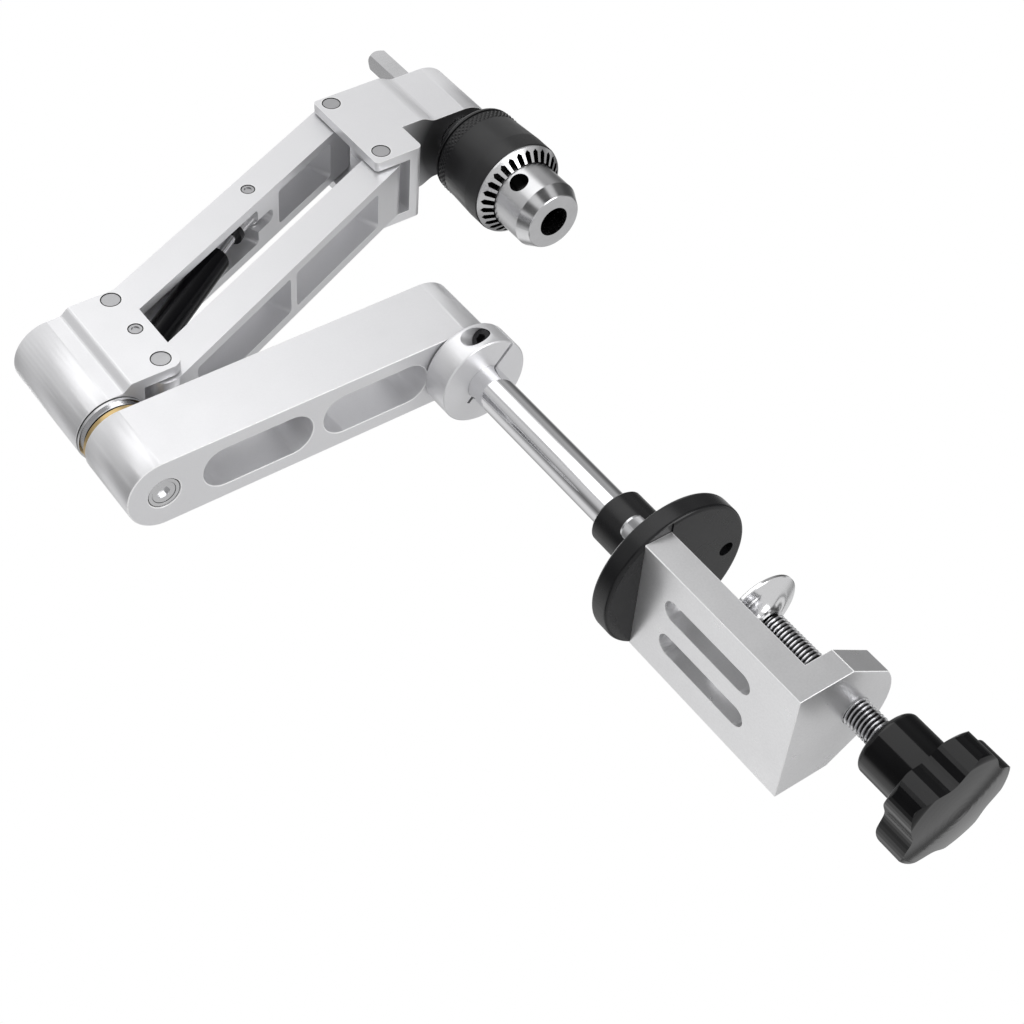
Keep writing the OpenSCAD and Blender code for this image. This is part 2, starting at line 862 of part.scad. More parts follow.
// Bronze bush between two heights, round a shaft
module bush(x, z, l, d) {
    color("peru") translate([x, 0, z])
        ring(d + 2 * run_clear + 2 * bush_t, d + 2 * run_clear, l);
}

// Bushes on the column
module column_bush_lower() {
    bush(0, arm_z, column_bush_l, column_d);
}
module column_bush_upper() {
    bush(0, column_top - column_bush_l - side_clear, column_bush_l, column_d);
}

// Bushes on the elbow shaft
module elbow_bush_lower() {
    bush(arm_l, arm_z + retainer_drop, elbow_bush_l, elbow_shaft_d);
}
module elbow_bush_upper() {
    bush(arm_l, arm_top - elbow_bush_l, elbow_bush_l, elbow_shaft_d);
}

// Brass thrust washer on the arm
module thrust_washer() {
    color("goldenrod") translate([arm_l, 0, arm_top])
        ring(thrust_brass_d, elbow_shaft_d + 4 * side_clear, thrust_brass_t);
}

// Steel thrust race under the elbow bracket, with its darker inner land
module thrust_race() {
    color("lightgray") translate([arm_l, 0, elbow_z - thrust_race_t])
        ring(thrust_race_d, elbow_shaft_d + 2 * seat_clear, thrust_race_t);
    color("lightgray")
        translate([arm_l, 0, arm_top + thrust_brass_t + thrust_gap])
            ring(thrust_seal_d, elbow_shaft_d + 2 * seat_clear,
                 elbow_gap - thrust_brass_t - thrust_race_t - thrust_gap
                 + seat_clear);
}

// Upright shaft of the elbow, fixed in the bracket
module elbow_shaft() {
    low = arm_z + retainer_drop - side_clear;
    color("lightgray") difference() {
        translate([arm_l, 0, low])
            cylinder(d = elbow_shaft_d,
                     h = elbow_z + elbow_shaft_rise - low);
        translate([arm_l, 0, low - over])
            cylinder(d = elbow_screw_d + 2 * seat_clear,
                     h = elbow_screw_l + over);
    }
}

// Disc under the elbow shaft that carries the arm's lower bush
module elbow_retainer() {
    low = arm_z + retainer_inset;
    h = retainer_drop - side_clear - retainer_inset;
    color("lightgray") translate([arm_l, 0, low]) difference() {
        ring(retainer_d, elbow_screw_d + 2 * seat_clear, h);
        translate([0, 0, -over])
            cylinder(d = elbow_head_d + 2 * elbow_head_gap,
                     h = over + elbow_head_inset + elbow_head_h);
    }
}

// Screw of the elbow's retainer, with its socket facing down
module elbow_screw() {
    low = arm_z + retainer_inset + elbow_head_inset;
    color("dimgray") translate([arm_l, 0, low]) mirror([0, 0, 1])
        cap_screw(elbow_head_d, elbow_head_h, elbow_screw_d, elbow_screw_l);
}

// Forked bracket that turns on the elbow and carries both links
module elbow_bracket() {
    far = pin_reach + ear_end;
    slot_x = pin_reach - ear_root;
    color("silver") difference() {
        translate([arm_l, 0, elbow_z]) rotate([0, 0, 180])
            linear_extrude(height = elbow_top - elbow_z)
                fork_plan(far, elbow_flat_end, elbow_step_l, ear_w, arm_w);
        // Gap between the ears
        translate([arm_l - far - over, -ear_gap_w / 2, elbow_z - over])
            cube([far + over - slot_x, ear_gap_w,
                  elbow_top - elbow_z + 2 * over]);
        // Round corners of the ears
        y_corner_cut(arm_l - far + elbow_corner_r, elbow_z + elbow_corner_r,
                     elbow_corner_r, -1, -1, ear_w);
        y_corner_cut(arm_l - far + ear_corner_r, elbow_top - ear_corner_r,
                     ear_corner_r, -1, 1, ear_w);
        // Shaft seat and pin holes
        translate([arm_l, 0, elbow_z - over])
            cylinder(d = elbow_shaft_d + 2 * seat_clear,
                     h = elbow_shaft_rise + over);
        for (z = [low_pin_z, up_pin_z])
            translate([pin_x, 0, z]) ear_pin_hole(pin_d);
        translate([pin_x, 0, mid_pin_z]) {
            y_rod(strut_pin_d + 2 * seat_clear, ear_w + 2 * over);
            for (s = [-1, 1])
                translate([0, s * (ear_w / 2 - strut_boss_l / 2 + over / 2),
                           0])
                    y_rod(strut_boss_d + 2 * seat_clear,
                          strut_boss_l + over);
        }
    }
}

// Hole through both ears, with a small chamfer at each mouth
module ear_pin_hole(d) {
    y_rod(d + 2 * seat_clear, ear_w + 2 * over);
    for (s = [0, 1])
        rotate([0, 0, 180 * s]) translate([0, -ear_w / 2, 0])
            rotate([90, 0, 0])
                translate([0, 0, -mouth_chamfer])
                    cylinder(d1 = d, d2 = d + 2 * mouth_chamfer + seat_clear,
                             h = mouth_chamfer + seat_clear);
}

// Plain pin across a fork
module fork_pin(x, z) {
    color("lightgray") translate([x, 0, z])
        y_rod(pin_d, ear_w - 2 * pin_inset);
}
module elbow_pin_upper() {
    fork_pin(pin_x, up_pin_z);
}
module elbow_pin_lower() {
    fork_pin(pin_x, low_pin_z);
}
module head_pin_upper() {
    fork_pin(head_pin_x, head_up_z);
}
module head_pin_lower() {
    fork_pin(head_pin_x, head_low_z);
}

// Small pin with a wider head at each end and a dimple in each head
module small_pin(w) {
    color("gray") difference() {
        union() {
            y_rod(strut_pin_d, w - 2 * pin_inset);
            for (s = [-1, 1])
                translate([0, s * (w - strut_boss_l) / 2, 0])
                    y_rod(strut_boss_d, strut_boss_l - 2 * pin_inset);
        }
        for (s = [-1, 1])
            translate([0, s * w / 2, 0])
                y_rod(strut_pin_dimple_d,
                      2 * (strut_pin_dimple_h + pin_inset));
    }
}
module strut_pin_lower() {
    translate([pin_x, 0, mid_pin_z]) small_pin(ear_w);
}
module strut_pin_upper() {
    translate([anchor_x, 0, anchor_z]) small_pin(link_w);
}

// Bar of a link with round ends, a little below its pins
module link_blank() {
    translate([0, 0, -link_drop]) {
        translate([0, -link_w / 2, -link_h / 2])
            cube([link_l, link_w, link_h]);
        y_rod(link_h, link_w);
        translate([link_l, 0, 0]) y_rod(link_h, link_w);
    }
}

// Pocket in a link's underside, from x0 to x1
module link_pocket(x0, x1) {
    translate([0, 0, -link_drop - link_h / 2 - over])
        linear_extrude(height = link_h - link_roof + over)
            round_rect(x0, x1, pocket_w, link_corner_r);
}

// Upper link, with a long pocket for the strut and one near the head
module upper_link() {
    pocket_end = strut_anchor + strut_pocket_past;
    color("silver") link_frame(up_pin_z) difference() {
        link_blank();
        for (x = [0, link_l])
            translate([x, 0, 0])
                y_rod(pin_d + 2 * run_clear, link_w + 2 * over);
        link_pocket(strut_pocket_start, pocket_end);
        link_pocket(strut_anchor + head_pocket_start,
                    link_l - head_pocket_end);
        // Slot for the strut's upper eye, closed on top
        translate([0, 0, -link_drop - link_h / 2 - over])
            linear_extrude(height = link_h - eye_slot_roof + over)
                slot_shape(strut_anchor - eye_slot_back,
                           strut_anchor + eye_slot_reach, eye_slot_w);
        strut_channel();
        translate([strut_anchor, 0, -strut_anchor_drop]) {
            y_rod(strut_pin_d + 2 * seat_clear, link_w + 2 * over);
            for (s = [-1, 1])
                translate([0, s * (link_w / 2 - strut_boss_l / 2 + over / 2),
                           0])
                    y_rod(strut_boss_d + 2 * seat_clear,
                          strut_boss_l + over);
        }
    }
}

// Shallow round channel in the upper link's underside, where the strut's
// cylinder lies when the forearm is raised all the way
module strut_channel() {
    high = lift_angle + lift_rise_angle;
    foot_x = -link_pitch / 2 * sin(high);
    foot_z = -link_pitch / 2 * cos(high);
    angle = atan2(-strut_anchor_drop - foot_z, strut_anchor - foot_x);
    end = strut_pocket_start + link_corner_r;
    translate([foot_x, 0, foot_z]) rotate([0, -angle, 0]) rotate([0, 90, 0])
        cylinder(d = strut_d + 2 * strut_channel_gap, h = end - foot_x);
}

// Lower link, with two pockets in its underside
module lower_link() {
    span = link_l - low_pocket_start - low_pocket_end - low_pocket_web;
    split = low_pocket_start + span * low_pocket_split_share;
    color("silver") link_frame(low_pin_z) difference() {
        link_blank();
        for (x = [0, link_l])
            translate([x, 0, 0])
                y_rod(pin_d + 2 * run_clear, link_w + 2 * over);
        link_pocket(low_pocket_start, split);
        link_pocket(split + low_pocket_web, link_l - low_pocket_end);
    }
}

// Gas strut's cylinder, with a rounded shoulder
module strut_cylinder() {
    r = strut_d / 2;
    color([0.06, 0.06, 0.06]) strut_frame() rotate([0, 90, 0])
        rotate_extrude() difference() {
            union() {
                translate([0, strut_low_eye_gap])
                    square([r, strut_cylinder_end - strut_low_eye_gap
                               - strut_shoulder_r]);
                translate([0, strut_low_eye_gap])
                    square([r - strut_shoulder_r,
                            strut_cylinder_end - strut_low_eye_gap]);
                translate([r - strut_shoulder_r,
                           strut_cylinder_end - strut_shoulder_r])
                    intersection() {
                        circle(r = strut_shoulder_r);
                        square(strut_shoulder_r);
                    }
            }
            // Bore for the rod, wider below its guide
            translate([0, strut_cylinder_end - rod_hidden_l - strut_d])
                square([rod_d / 2 + run_clear, rod_hidden_l + strut_d + over]);
        }
}

// Eye at the foot of the strut
module strut_lower_eye() {
    color("dimgray") strut_frame() difference() {
        union() {
            y_rod(strut_eye_d, strut_low_eye_t);
            rotate([0, 90, 0])
                cylinder(d = strut_neck_d, h = strut_low_eye_gap);
        }
        y_rod(strut_pin_d + 2 * open_pivot_clear,
              strut_low_eye_t + 2 * over);
    }
}

// Chrome rod of the strut
module strut_rod() {
    color("lightgray") strut_frame()
        translate([strut_cylinder_end - rod_hidden_l, 0, 0])
            rotate([0, 90, 0])
                cylinder(d = rod_d, h = strut_l - lock_nut_from_pin + over
                                        - strut_cylinder_end + rod_hidden_l);
}

// Lock nut of the rod's eye
module strut_lock_nut() {
    color([0.12, 0.12, 0.12]) strut_frame()
        translate([strut_l - lock_nut_from_pin - lock_nut_h, 0, 0])
            rotate([0, 90, 0])
                ring(lock_nut_d, rod_d + 2 * seat_clear, lock_nut_h);
}

// Eye at the top of the strut, screwed on the rod
module strut_upper_eye() {
    start = strut_l - lock_nut_from_pin;
    color("gray") strut_frame() difference() {
        union() {
            translate([strut_l, 0, 0]) y_rod(strut_top_eye_d, strut_eye_t);
            intersection() {
                translate([start, 0, 0]) rotate([0, 90, 0])
                    cylinder(d1 = eye_shank_d, d2 = strut_top_eye_d,
                             h = lock_nut_from_pin);
                translate([start, -strut_eye_t / 2, -strut_top_eye_d / 2])
                    cube([lock_nut_from_pin, strut_eye_t, strut_top_eye_d]);
            }
        }
        translate([strut_l, 0, 0])
            y_rod(strut_pin_d + 2 * run_clear, strut_eye_t + 2 * over);
        translate([start - over, 0, 0]) rotate([0, 90, 0])
            cylinder(d = rod_d + 2 * seat_clear, h = 2 * over);
    }
}

// Head: a fork for the links and a barrel for the spindle
module head_block() {
    front = head_reach + head_front;
    root_x = head_reach - ear_root;
    color("silver") difference() {
        union() {
            chuck_frame(barrel_z) linear_extrude(height = barrel_h)
                fork_plan(front, head_reach - head_flat_end, head_step_l,
                          ear_w, barrel_d);
            chuck_frame(head_bottom)
                translate([root_x - yoke_wall, -ear_w / 2, 0])
                    cube([front - root_x + yoke_wall, ear_w,
                          head_top - head_bottom]);
        }
        // Round lower edge of the yoke under the barrel
        y_corner_cut(chuck_x + root_x - yoke_wall + yoke_round,
                     head_bottom + yoke_round, yoke_round, -1, -1, ear_w);
        // Gap between the ears
        chuck_frame(head_bottom - over)
            translate([root_x, -ear_gap_w / 2, 0])
                cube([front - root_x + over, ear_gap_w,
                      head_top - head_bottom + 2 * over]);
        // Round corners of the ears
        for (s = [0, 1])
            y_corner_cut(chuck_x + front - ear_corner_r,
                         s == 0 ? head_bottom + ear_corner_r
                                : head_top - ear_corner_r,
                         ear_corner_r, 1, 2 * s - 1, ear_w);
        for (z = [head_low_z, head_up_z])
            translate([head_pin_x, 0, z]) ear_pin_hole(pin_d);
        // Bore of the barrel and its two bearing seats
        chuck_frame(barrel_z - over)
            cylinder(d = spindle_bore_d, h = barrel_h + 2 * over);
        chuck_frame(barrel_z - over)
            cylinder(d = bearing_d + 2 * seat_clear,
                     h = bearing_inset + bearing_h + over);
        chuck_frame(head_top - bearing_inset - bearing_h)
            cylinder(d = bearing_d + 2 * seat_clear,
                     h = bearing_inset + bearing_h + over);
    }
}

// Ball bearing with its shields, as one ring with grooved faces
module bearing(z) {
    in_r = spindle_d / 2 + run_clear;
    out_r = bearing_d / 2;
    mid_r = (in_r + out_r) / 2;
    color("lightgray") chuck_frame(z) rotate_extrude() difference() {
        translate([in_r, 0]) square([out_r - in_r, bearing_h]);
        for (y = [-over, bearing_h - bearing_groove])
            translate([mid_r - bearing_groove_w / 2, y])
                square([bearing_groove_w, bearing_groove + over]);
    }
}
module spindle_bearing_lower() {
    bearing(barrel_z + bearing_inset);
}
module spindle_bearing_upper() {
    bearing(head_top - bearing_inset - bearing_h);
}

// Spindle with a square top for a wrench and a nose for the chuck
module spindle() {
    top = head_top + square_rise;
    seat = sleeve_top_z + chuck_back_gap;
    low_face = barrel_z + bearing_inset - side_clear;
    flange_top = barrel_z - side_clear;
    color("lightgray") chuck_frame(0) {
        intersection() {
            translate([-square_w / 2, -square_w / 2, head_top])
                cube([square_w, square_w, square_rise]);
            translate([0, 0, head_top]) rotate_extrude() polygon([
                [0, 0],
                [square_w, 0],
                [square_w, square_rise - square_w + square_w / sqrt(2)
                           - square_chamfer],
                [square_w / 2, square_rise],
                [0, square_rise]
            ]);
        }
        difference() {
            rotate_extrude() polygon([
                [0, seat - spindle_nose_l],
                [spindle_nose_d / 2, seat - spindle_nose_l],
                [spindle_nose_d / 2, seat],
                [spindle_flange_d / 2, seat],
                [spindle_flange_d / 2, flange_top],
                [spindle_collar_d / 2, flange_top],
                [spindle_collar_d / 2, low_face],
                [spindle_d / 2, low_face],
                [spindle_d / 2, head_top + circlip_t * 2],
                [0, head_top + circlip_t * 2]
            ]);
            translate([0, 0, head_top - bearing_inset + side_clear])
                ring(spindle_d + over, spindle_d - over, circlip_t);
        }
    }
}

// Circlip above the upper bearing
module spindle_circlip() {
    color("dimgray")
        chuck_frame(head_top - bearing_inset + side_clear)
            difference() {
                ring(circlip_d, spindle_d - over + 2 * seat_clear,
                     circlip_t);
                translate([0, 0, -over])
                    linear_extrude(height = circlip_t + 2 * over)
                        polygon([[0, 0], [circlip_d, -circlip_d / 2],
                                 [circlip_d, circlip_d / 2]]);
            }
}

// Turn for each of the three jaws
function jaw_turn(i) = 120 * i;

// Leaning frame of a jaw, along its axis, with the chuck open
module jaw_axis_frame(i) {
    chuck_frame(0) rotate([0, 0, jaw_turn(i)])
        translate([jaw_axis_x, 0, jaw_tip_z]) rotate([0, jaw_lean, 0])
            children();
}

// Steel body of the chuck, with its bevelled nose and key holes
module chuck_body() {
    back_z = sleeve_top_z + chuck_back_gap;
    groove_low = sleeve_low_z + nut_z_rise - nut_gap;
    groove_top = sleeve_low_z + nut_z_rise + nut_h + nut_gap;
    nose_edge = mouth_chamfer;
    color("lightgray") difference() {
        chuck_frame(0) rotate_extrude() polygon([
            [0, nose_z],
            [nose_d / 2 - nose_edge, nose_z],
            [nose_d / 2, nose_z + nose_edge],
            [chuck_d / 2, nose_z + nose_bevel_h],
            [chuck_d / 2, groove_low],
            [groove_d / 2, groove_low],
            [groove_d / 2, groove_top],
            [chuck_back_d / 2, groove_top],
            [chuck_back_d / 2, sleeve_top_z - sleeve_lip_h - side_clear],
            [sleeve_lip_d / 2 - side_clear,
             sleeve_top_z - sleeve_lip_h - side_clear],
            [sleeve_lip_d / 2 - side_clear, back_z],
            [0, back_z]
        ]);
        // Opening for the tool's shank
        chuck_frame(nose_z - over)
            cylinder(d = chuck_bore_d, h = chuck_bore_l + over);
        // Seat of the spindle's nose
        chuck_frame(back_z - spindle_nose_l - side_clear)
            cylinder(d = spindle_nose_d + 2 * seat_clear,
                     h = spindle_nose_l + side_clear + over);
        // Leaning guides of the jaws
        for (i = [0:2])
            jaw_axis_frame(i)
                translate([0, 0, -jaw_travel - jaw_slot_over])
                    cylinder(d = jaw_d + 2 * run_clear,
                             h = jaw_travel + jaw_l / cos(jaw_lean)
                                 + 2 * jaw_slot_over);
        // Three holes for the key's pilot
        for (i = [0:2])
            chuck_frame(nose_z + key_hole_rise)
                rotate([0, 0, jaw_turn(i) + 60])
                    translate([chuck_d / 2 - key_hole_depth, 0, 0])
                        rotate([0, 90, 0])
                            cylinder(d = key_hole_d,
                                     h = key_hole_depth + over);
    }
}

// Black outer sleeve that turns to move the jaws
module chuck_sleeve() {
    top = sleeve_h;
    in_r = chuck_back_d / 2 + run_clear;
    r_top = sleeve_top_d / 2;
    r_low = sleeve_low_d / 2;
    color([0.1, 0.1, 0.1]) chuck_frame(sleeve_low_z) rotate_extrude()
        difference() {
            polygon([
                [in_r, 0],
                [r_low, 0],
                [r_low, sleeve_h * sleeve_low_share],
                [r_top, sleeve_h * sleeve_high_share],
                [r_top, top],
                [sleeve_lip_d / 2, top],
                [sleeve_lip_d / 2, top - sleeve_lip_h],
                [in_r, top - sleeve_lip_h]
            ]);
            translate([r_top - sleeve_groove,
                       top - sleeve_groove_z - sleeve_groove_h])
                square([sleeve_groove + over, sleeve_groove_h]);
            translate([r_top - sleeve_round, top - sleeve_round])
                difference() {
                    square(sleeve_round + over);
                    circle(r = sleeve_round);
                }
        }
}

// Bevelled ring with radial teeth for the chuck's key
module chuck_gear_ring() {
    in_r = gear_in_d / 2;
    out_r = sleeve_low_d / 2 - mouth_chamfer;
    mid_r = (in_r + out_r) / 2;
    slot_w = 2 * PI * mid_r / gear_teeth * gear_slot_share;
    cone_angle = atan2(gear_h - gear_rim_h, out_r - in_r);
    color("lightgray") chuck_frame(sleeve_low_z) difference() {
        rotate_extrude() polygon([
            [in_r, 0],
            [out_r, 0],
            [out_r, -gear_rim_h],
            [in_r, -gear_h]
        ]);
        for (i = [0:gear_teeth - 1])
            rotate([0, 0, 360 * (i + 0.5) / gear_teeth])
                translate([in_r, 0, -gear_h]) rotate([0, -cone_angle, 0])
                    translate([0, 0, -gear_slot_depth + over / 2])
                        gear_slot(slot_w, (out_r - in_r) / cos(cone_angle));
    }
}

// Cutter of one gap between teeth, pointed at its outer end
module gear_slot(w, l) {
    tip = w / 2;
    end = l - gear_land;
    linear_extrude(height = 2 * gear_slot_depth)
        polygon([
            [-l / 2, -w / 2 * gear_slot_root_share],
            [end - tip, -w / 2],
            [end, 0],
            [end - tip, w / 2],
            [-l / 2, w / 2 * gear_slot_root_share]
        ]);
}

// Threaded ring inside the sleeve that drives the jaws
module chuck_nut() {
    low = sleeve_low_z + nut_z_rise;
    slope = tan(jaw_lean);
    back_r = jaw_face_x + jaw_back + nut_gap
        + (low - jaw_tip_z) * slope;
    out_r = chuck_back_d / 2;
    color("gray") chuck_frame(low) rotate_extrude() polygon([
        [max(back_r, groove_d / 2 + nut_gap), 0],
        [out_r, 0],
        [out_r, nut_h],
        [back_r + nut_h * slope, nut_h]
    ]);
}

// Jaw: a leaning rod with a flat gripping face in front
module chuck_jaw(i) {
    reach = sleeve_low_d / 2;
    flat = jaw_min_gap * tan(jaw_wedge_angle) - side_clear / 2;
    color("gray") intersection() {
        jaw_axis_frame(i)
            translate([0, 0, -jaw_d]) cylinder(d = jaw_d, h = jaw_l + 2 * jaw_d);
        chuck_frame(jaw_tip_z) rotate([0, 0, jaw_turn(i)])
            linear_extrude(height = jaw_l)
                polygon([
                    [jaw_face_x, -flat],
                    [jaw_face_x + reach, -flat - reach * tan(jaw_wedge_angle)],
                    [jaw_face_x + reach, flat + reach * tan(jaw_wedge_angle)],
                    [jaw_face_x, flat]
                ]);
    }
}
module chuck_jaw_1() {
    chuck_jaw(0);
}
module chuck_jaw_2() {
    chuck_jaw(1);
}
module chuck_jaw_3() {
    chuck_jaw(2);
}

clamp_bracket();
base_flange();
flange_screws();
column_set_screw();
column();
column_cap();
column_cap_screw();
clamp_screw();
clamp_pad();
clamp_knob();
height_collar();
collar_screw();
lower_arm();
column_bush_lower();
column_bush_upper();
elbow_bush_lower();
elbow_bush_upper();
thrust_washer();
thrust_race();
elbow_shaft();
elbow_retainer();
elbow_screw();
elbow_bracket();
elbow_pin_upper();
elbow_pin_lower();
strut_pin_lower();
upper_link();
strut_pin_upper();
lower_link();
strut_cylinder();
strut_lower_eye();
strut_rod();
strut_lock_nut();
strut_upper_eye();
head_block();
head_pin_upper();
head_pin_lower();
spindle_bearing_lower();
spindle_bearing_upper();
spindle();
spindle_circlip();
chuck_body();
chuck_sleeve();
chuck_gear_ring();
chuck_nut();
chuck_jaw_1();
chuck_jaw_2();
chuck_jaw_3();
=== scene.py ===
# Arm tapping machine: finishes, fine detail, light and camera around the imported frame.
# Lengths are in metres, in the frame's own axes: +Z up the column, +X to the elbow.
import math
import bmesh
import bpy
from mathutils import Matrix, Vector


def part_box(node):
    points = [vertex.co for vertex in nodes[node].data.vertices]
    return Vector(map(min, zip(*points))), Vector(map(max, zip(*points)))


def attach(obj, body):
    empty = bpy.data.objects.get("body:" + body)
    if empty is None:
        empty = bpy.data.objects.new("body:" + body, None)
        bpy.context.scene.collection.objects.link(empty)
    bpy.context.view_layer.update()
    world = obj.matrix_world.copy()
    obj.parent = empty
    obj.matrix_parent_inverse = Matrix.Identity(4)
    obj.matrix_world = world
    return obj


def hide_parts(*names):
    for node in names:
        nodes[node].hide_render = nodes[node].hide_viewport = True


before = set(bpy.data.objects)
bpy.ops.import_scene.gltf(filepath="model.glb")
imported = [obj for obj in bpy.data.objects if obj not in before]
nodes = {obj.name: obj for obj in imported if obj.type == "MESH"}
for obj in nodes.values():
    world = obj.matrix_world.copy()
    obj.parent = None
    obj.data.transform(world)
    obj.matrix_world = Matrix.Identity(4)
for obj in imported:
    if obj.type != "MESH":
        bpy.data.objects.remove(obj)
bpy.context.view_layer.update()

MM = 0.001
FULL_TURN = 2 * math.pi


# Places that the frame gives

def middle(node):
    """Centre of a node's box."""
    low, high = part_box(node)
    return (low + high) / 2


def top_of(node):
    """Highest z of a node."""
    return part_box(node)[1].z


def bottom_of(node):
    """Lowest z of a node."""
    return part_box(node)[0].z


chuck_axis = middle("chuck_sleeve")
screw_axis = middle("clamp_screw")


# Node helpers

def node_of(tree, kind, **values):
    """Adds a node and sets its properties or its input sockets by name."""
    node = tree.nodes.new(kind)
    for name, value in values.items():
        if hasattr(node, name):
            setattr(node, name, value)
        else:
            node.inputs[name.replace("_", " ")].default_value = value
    return node


def plug(tree, value, socket):
    """Links an output to a socket, or sets the socket to a plain value."""
    if isinstance(value, bpy.types.NodeSocket):
        tree.links.new(value, socket)
    else:
        socket.default_value = value


def surface(name, color, metallic, roughness, **sockets):
    """Starts a Principled material with plain numbers on its own sockets."""
    material = bpy.data.materials.new(name)
    material.use_nodes = True
    shader = material.node_tree.nodes["Principled BSDF"]
    shader.inputs["Base Color"].default_value = (*color, 1)
    shader.inputs["Metallic"].default_value = metallic
    shader.inputs["Roughness"].default_value = roughness
    for socket, value in sockets.items():
        shader.inputs[socket.replace("_", " ")].default_value = value
    return material


def object_space(tree, scale=(1, 1, 1), offset=(0, 0, 0)):
    """Mapped coordinates that stay with the object when it moves."""
    coords = node_of(tree, "ShaderNodeTexCoord")
    mapping = node_of(tree, "ShaderNodeMapping", Scale=scale, Location=offset)
    tree.links.new(coords.outputs["Object"], mapping.inputs["Vector"])
    return mapping.outputs["Vector"]


def part_of(tree, vector, letter):
    """The X, Y or Z of a vector."""
    split = node_of(tree, "ShaderNodeSeparateXYZ")
    tree.links.new(vector, split.inputs[0])
    return split.outputs[letter]


def height_of(tree):
    """Height in the object's own space."""
    return part_of(tree, object_space(tree), "Z")


def facing(tree, letter):
    """How far a face looks along X, Y or Z of its object, from -1 to 1."""
    coords = node_of(tree, "ShaderNodeTexCoord")
    return part_of(tree, coords.outputs["Normal"], letter)


def axis_distance(tree, x=0.0, y=0.0):
    """Distance from an upright axis."""
    length = node_of(tree, "ShaderNodeVectorMath", operation="LENGTH")
    tree.links.new(object_space(tree, (1, 1, 0), (-x, -y, 0)), length.inputs[0])
    return length.outputs["Value"]


def noise(tree, vector, scale, detail=3.0, roughness=0.55):
    """Noise texture, as a number from 0 to 1."""
    texture = node_of(tree, "ShaderNodeTexNoise", Scale=scale, Detail=detail,
                      Roughness=roughness)
    tree.links.new(vector, texture.inputs["Vector"])
    return texture.outputs["Fac"]


def spread(tree, value, low, high, start=0.3, end=0.7):
    """Maps start to low and end to high. Noise fills about 0.3 to 0.7, the default."""
    ranged = node_of(tree, "ShaderNodeMapRange", From_Min=start, From_Max=end,
                     To_Min=low, To_Max=high)
    tree.links.new(value, ranged.inputs["Value"])
    return ranged.outputs["Result"]


def math_of(tree, operation, first, second=0.0):
    """A Math node on sockets or numbers."""
    node = node_of(tree, "ShaderNodeMath", operation=operation)
    for socket, value in zip(node.inputs, (first, second)):
        plug(tree, value, socket)
    return node.outputs[0]


def mix_colors(tree, factor, first, second, blend="MIX"):
    """Mixes two colours, each a socket or a plain one, by a factor."""
    mix = node_of(tree, "ShaderNodeMix", data_type="RGBA", blend_type=blend)
    plug(tree, factor, mix.inputs["Factor"])
    for color, name in ((first, "A"), (second, "B")):
        plain = not isinstance(color, bpy.types.NodeSocket)
        plug(tree, (*color, 1) if plain else color, mix.inputs[name])
    return mix.outputs["Result"]


def shade(color, amount):
    """A colour made lighter or darker by a share."""
    return tuple(min(1.0, c * (1 + amount)) for c in color)


def darken(material, share, tone):
    """Blends a material's colour to a dark tone where the share is 1."""
    tree = material.node_tree
    base = tree.nodes["Principled BSDF"].inputs["Base Color"]
    clean = base.links[0].from_socket
    tree.links.new(mix_colors(tree, share, clean, tone), base)


# Materials

# Noise of the broad tone changes, the fine grain and the uneven gloss
TONE_SCALE = 28.0
TONE_DETAIL = 4.0
GRAIN_DETAIL = 2.0
GRAIN_ROUGHNESS = 0.6
GRAIN_STRENGTH = 0.6
GLOSS_SCALE = 90.0
WHITE = (1.0, 1.0, 1.0)


def finish(name, color, metallic, roughness, variation, grain, grain_height,
           rough_range, grain_color, **sockets):
    """A worked surface: broad tone changes, fine grain and uneven gloss."""
    material = surface(name, color, metallic, roughness, **sockets)
    tree = material.node_tree
    shader = tree.nodes["Principled BSDF"]
    broad = noise(tree, object_space(tree), TONE_SCALE, TONE_DETAIL)
    fine = noise(tree, object_space(tree, grain), 1.0, GRAIN_DETAIL, GRAIN_ROUGHNESS)
    gloss = noise(tree, object_space(tree), GLOSS_SCALE)
    tone = mix_colors(tree, spread(tree, broad, 0.0, 1.0),
                      shade(color, -variation), shade(color, variation))
    speck = mix_colors(tree, spread(tree, fine, 0.0, 1.0), (1 - grain_color,) * 3, WHITE)
    tree.links.new(mix_colors(tree, 1.0, tone, speck, "MULTIPLY"),
                   shader.inputs["Base Color"])
    tree.links.new(spread(tree, gloss, roughness - rough_range,
                          roughness + rough_range), shader.inputs["Roughness"])
    bump = node_of(tree, "ShaderNodeBump", Strength=GRAIN_STRENGTH,
                   Distance=grain_height)
    tree.links.new(fine, bump.inputs["Height"])
    tree.links.new(bump.outputs["Normal"], shader.inputs["Normal"])
    return material


def even(scale):
    """Grain of one scale along every axis."""
    return (scale, scale, scale)


# Turning leaves grain that runs round the axis, so it is fine along Z alone
TURNED_GRAIN = (150, 150, 4200)
ALUMINIUM = dict(color=(0.78, 0.78, 0.795), metallic=0.66, roughness=0.36,
                 variation=0.012, grain=even(1400), grain_height=0.004 * MM,
                 rough_range=0.03, grain_color=0.02)
TURNED = dict(color=(0.62, 0.62, 0.63), metallic=1.0, roughness=0.20,
              variation=0.04, grain=TURNED_GRAIN, grain_height=0.006 * MM,
              rough_range=0.04, grain_color=0.06)
CHROME_COLOR = (0.76, 0.76, 0.775)
STEEL_COLOR = (0.66, 0.66, 0.67)
BLACK_COLOR = (0.008, 0.008, 0.009)

# Radii at which the painted shade in the thread's roots starts and ends
ROOT_SHADE_FULL_R = 5.0 * MM
ROOT_SHADE_END_R = 5.7 * MM
ROOT_SHADE_TONE = (0.03, 0.03, 0.032)


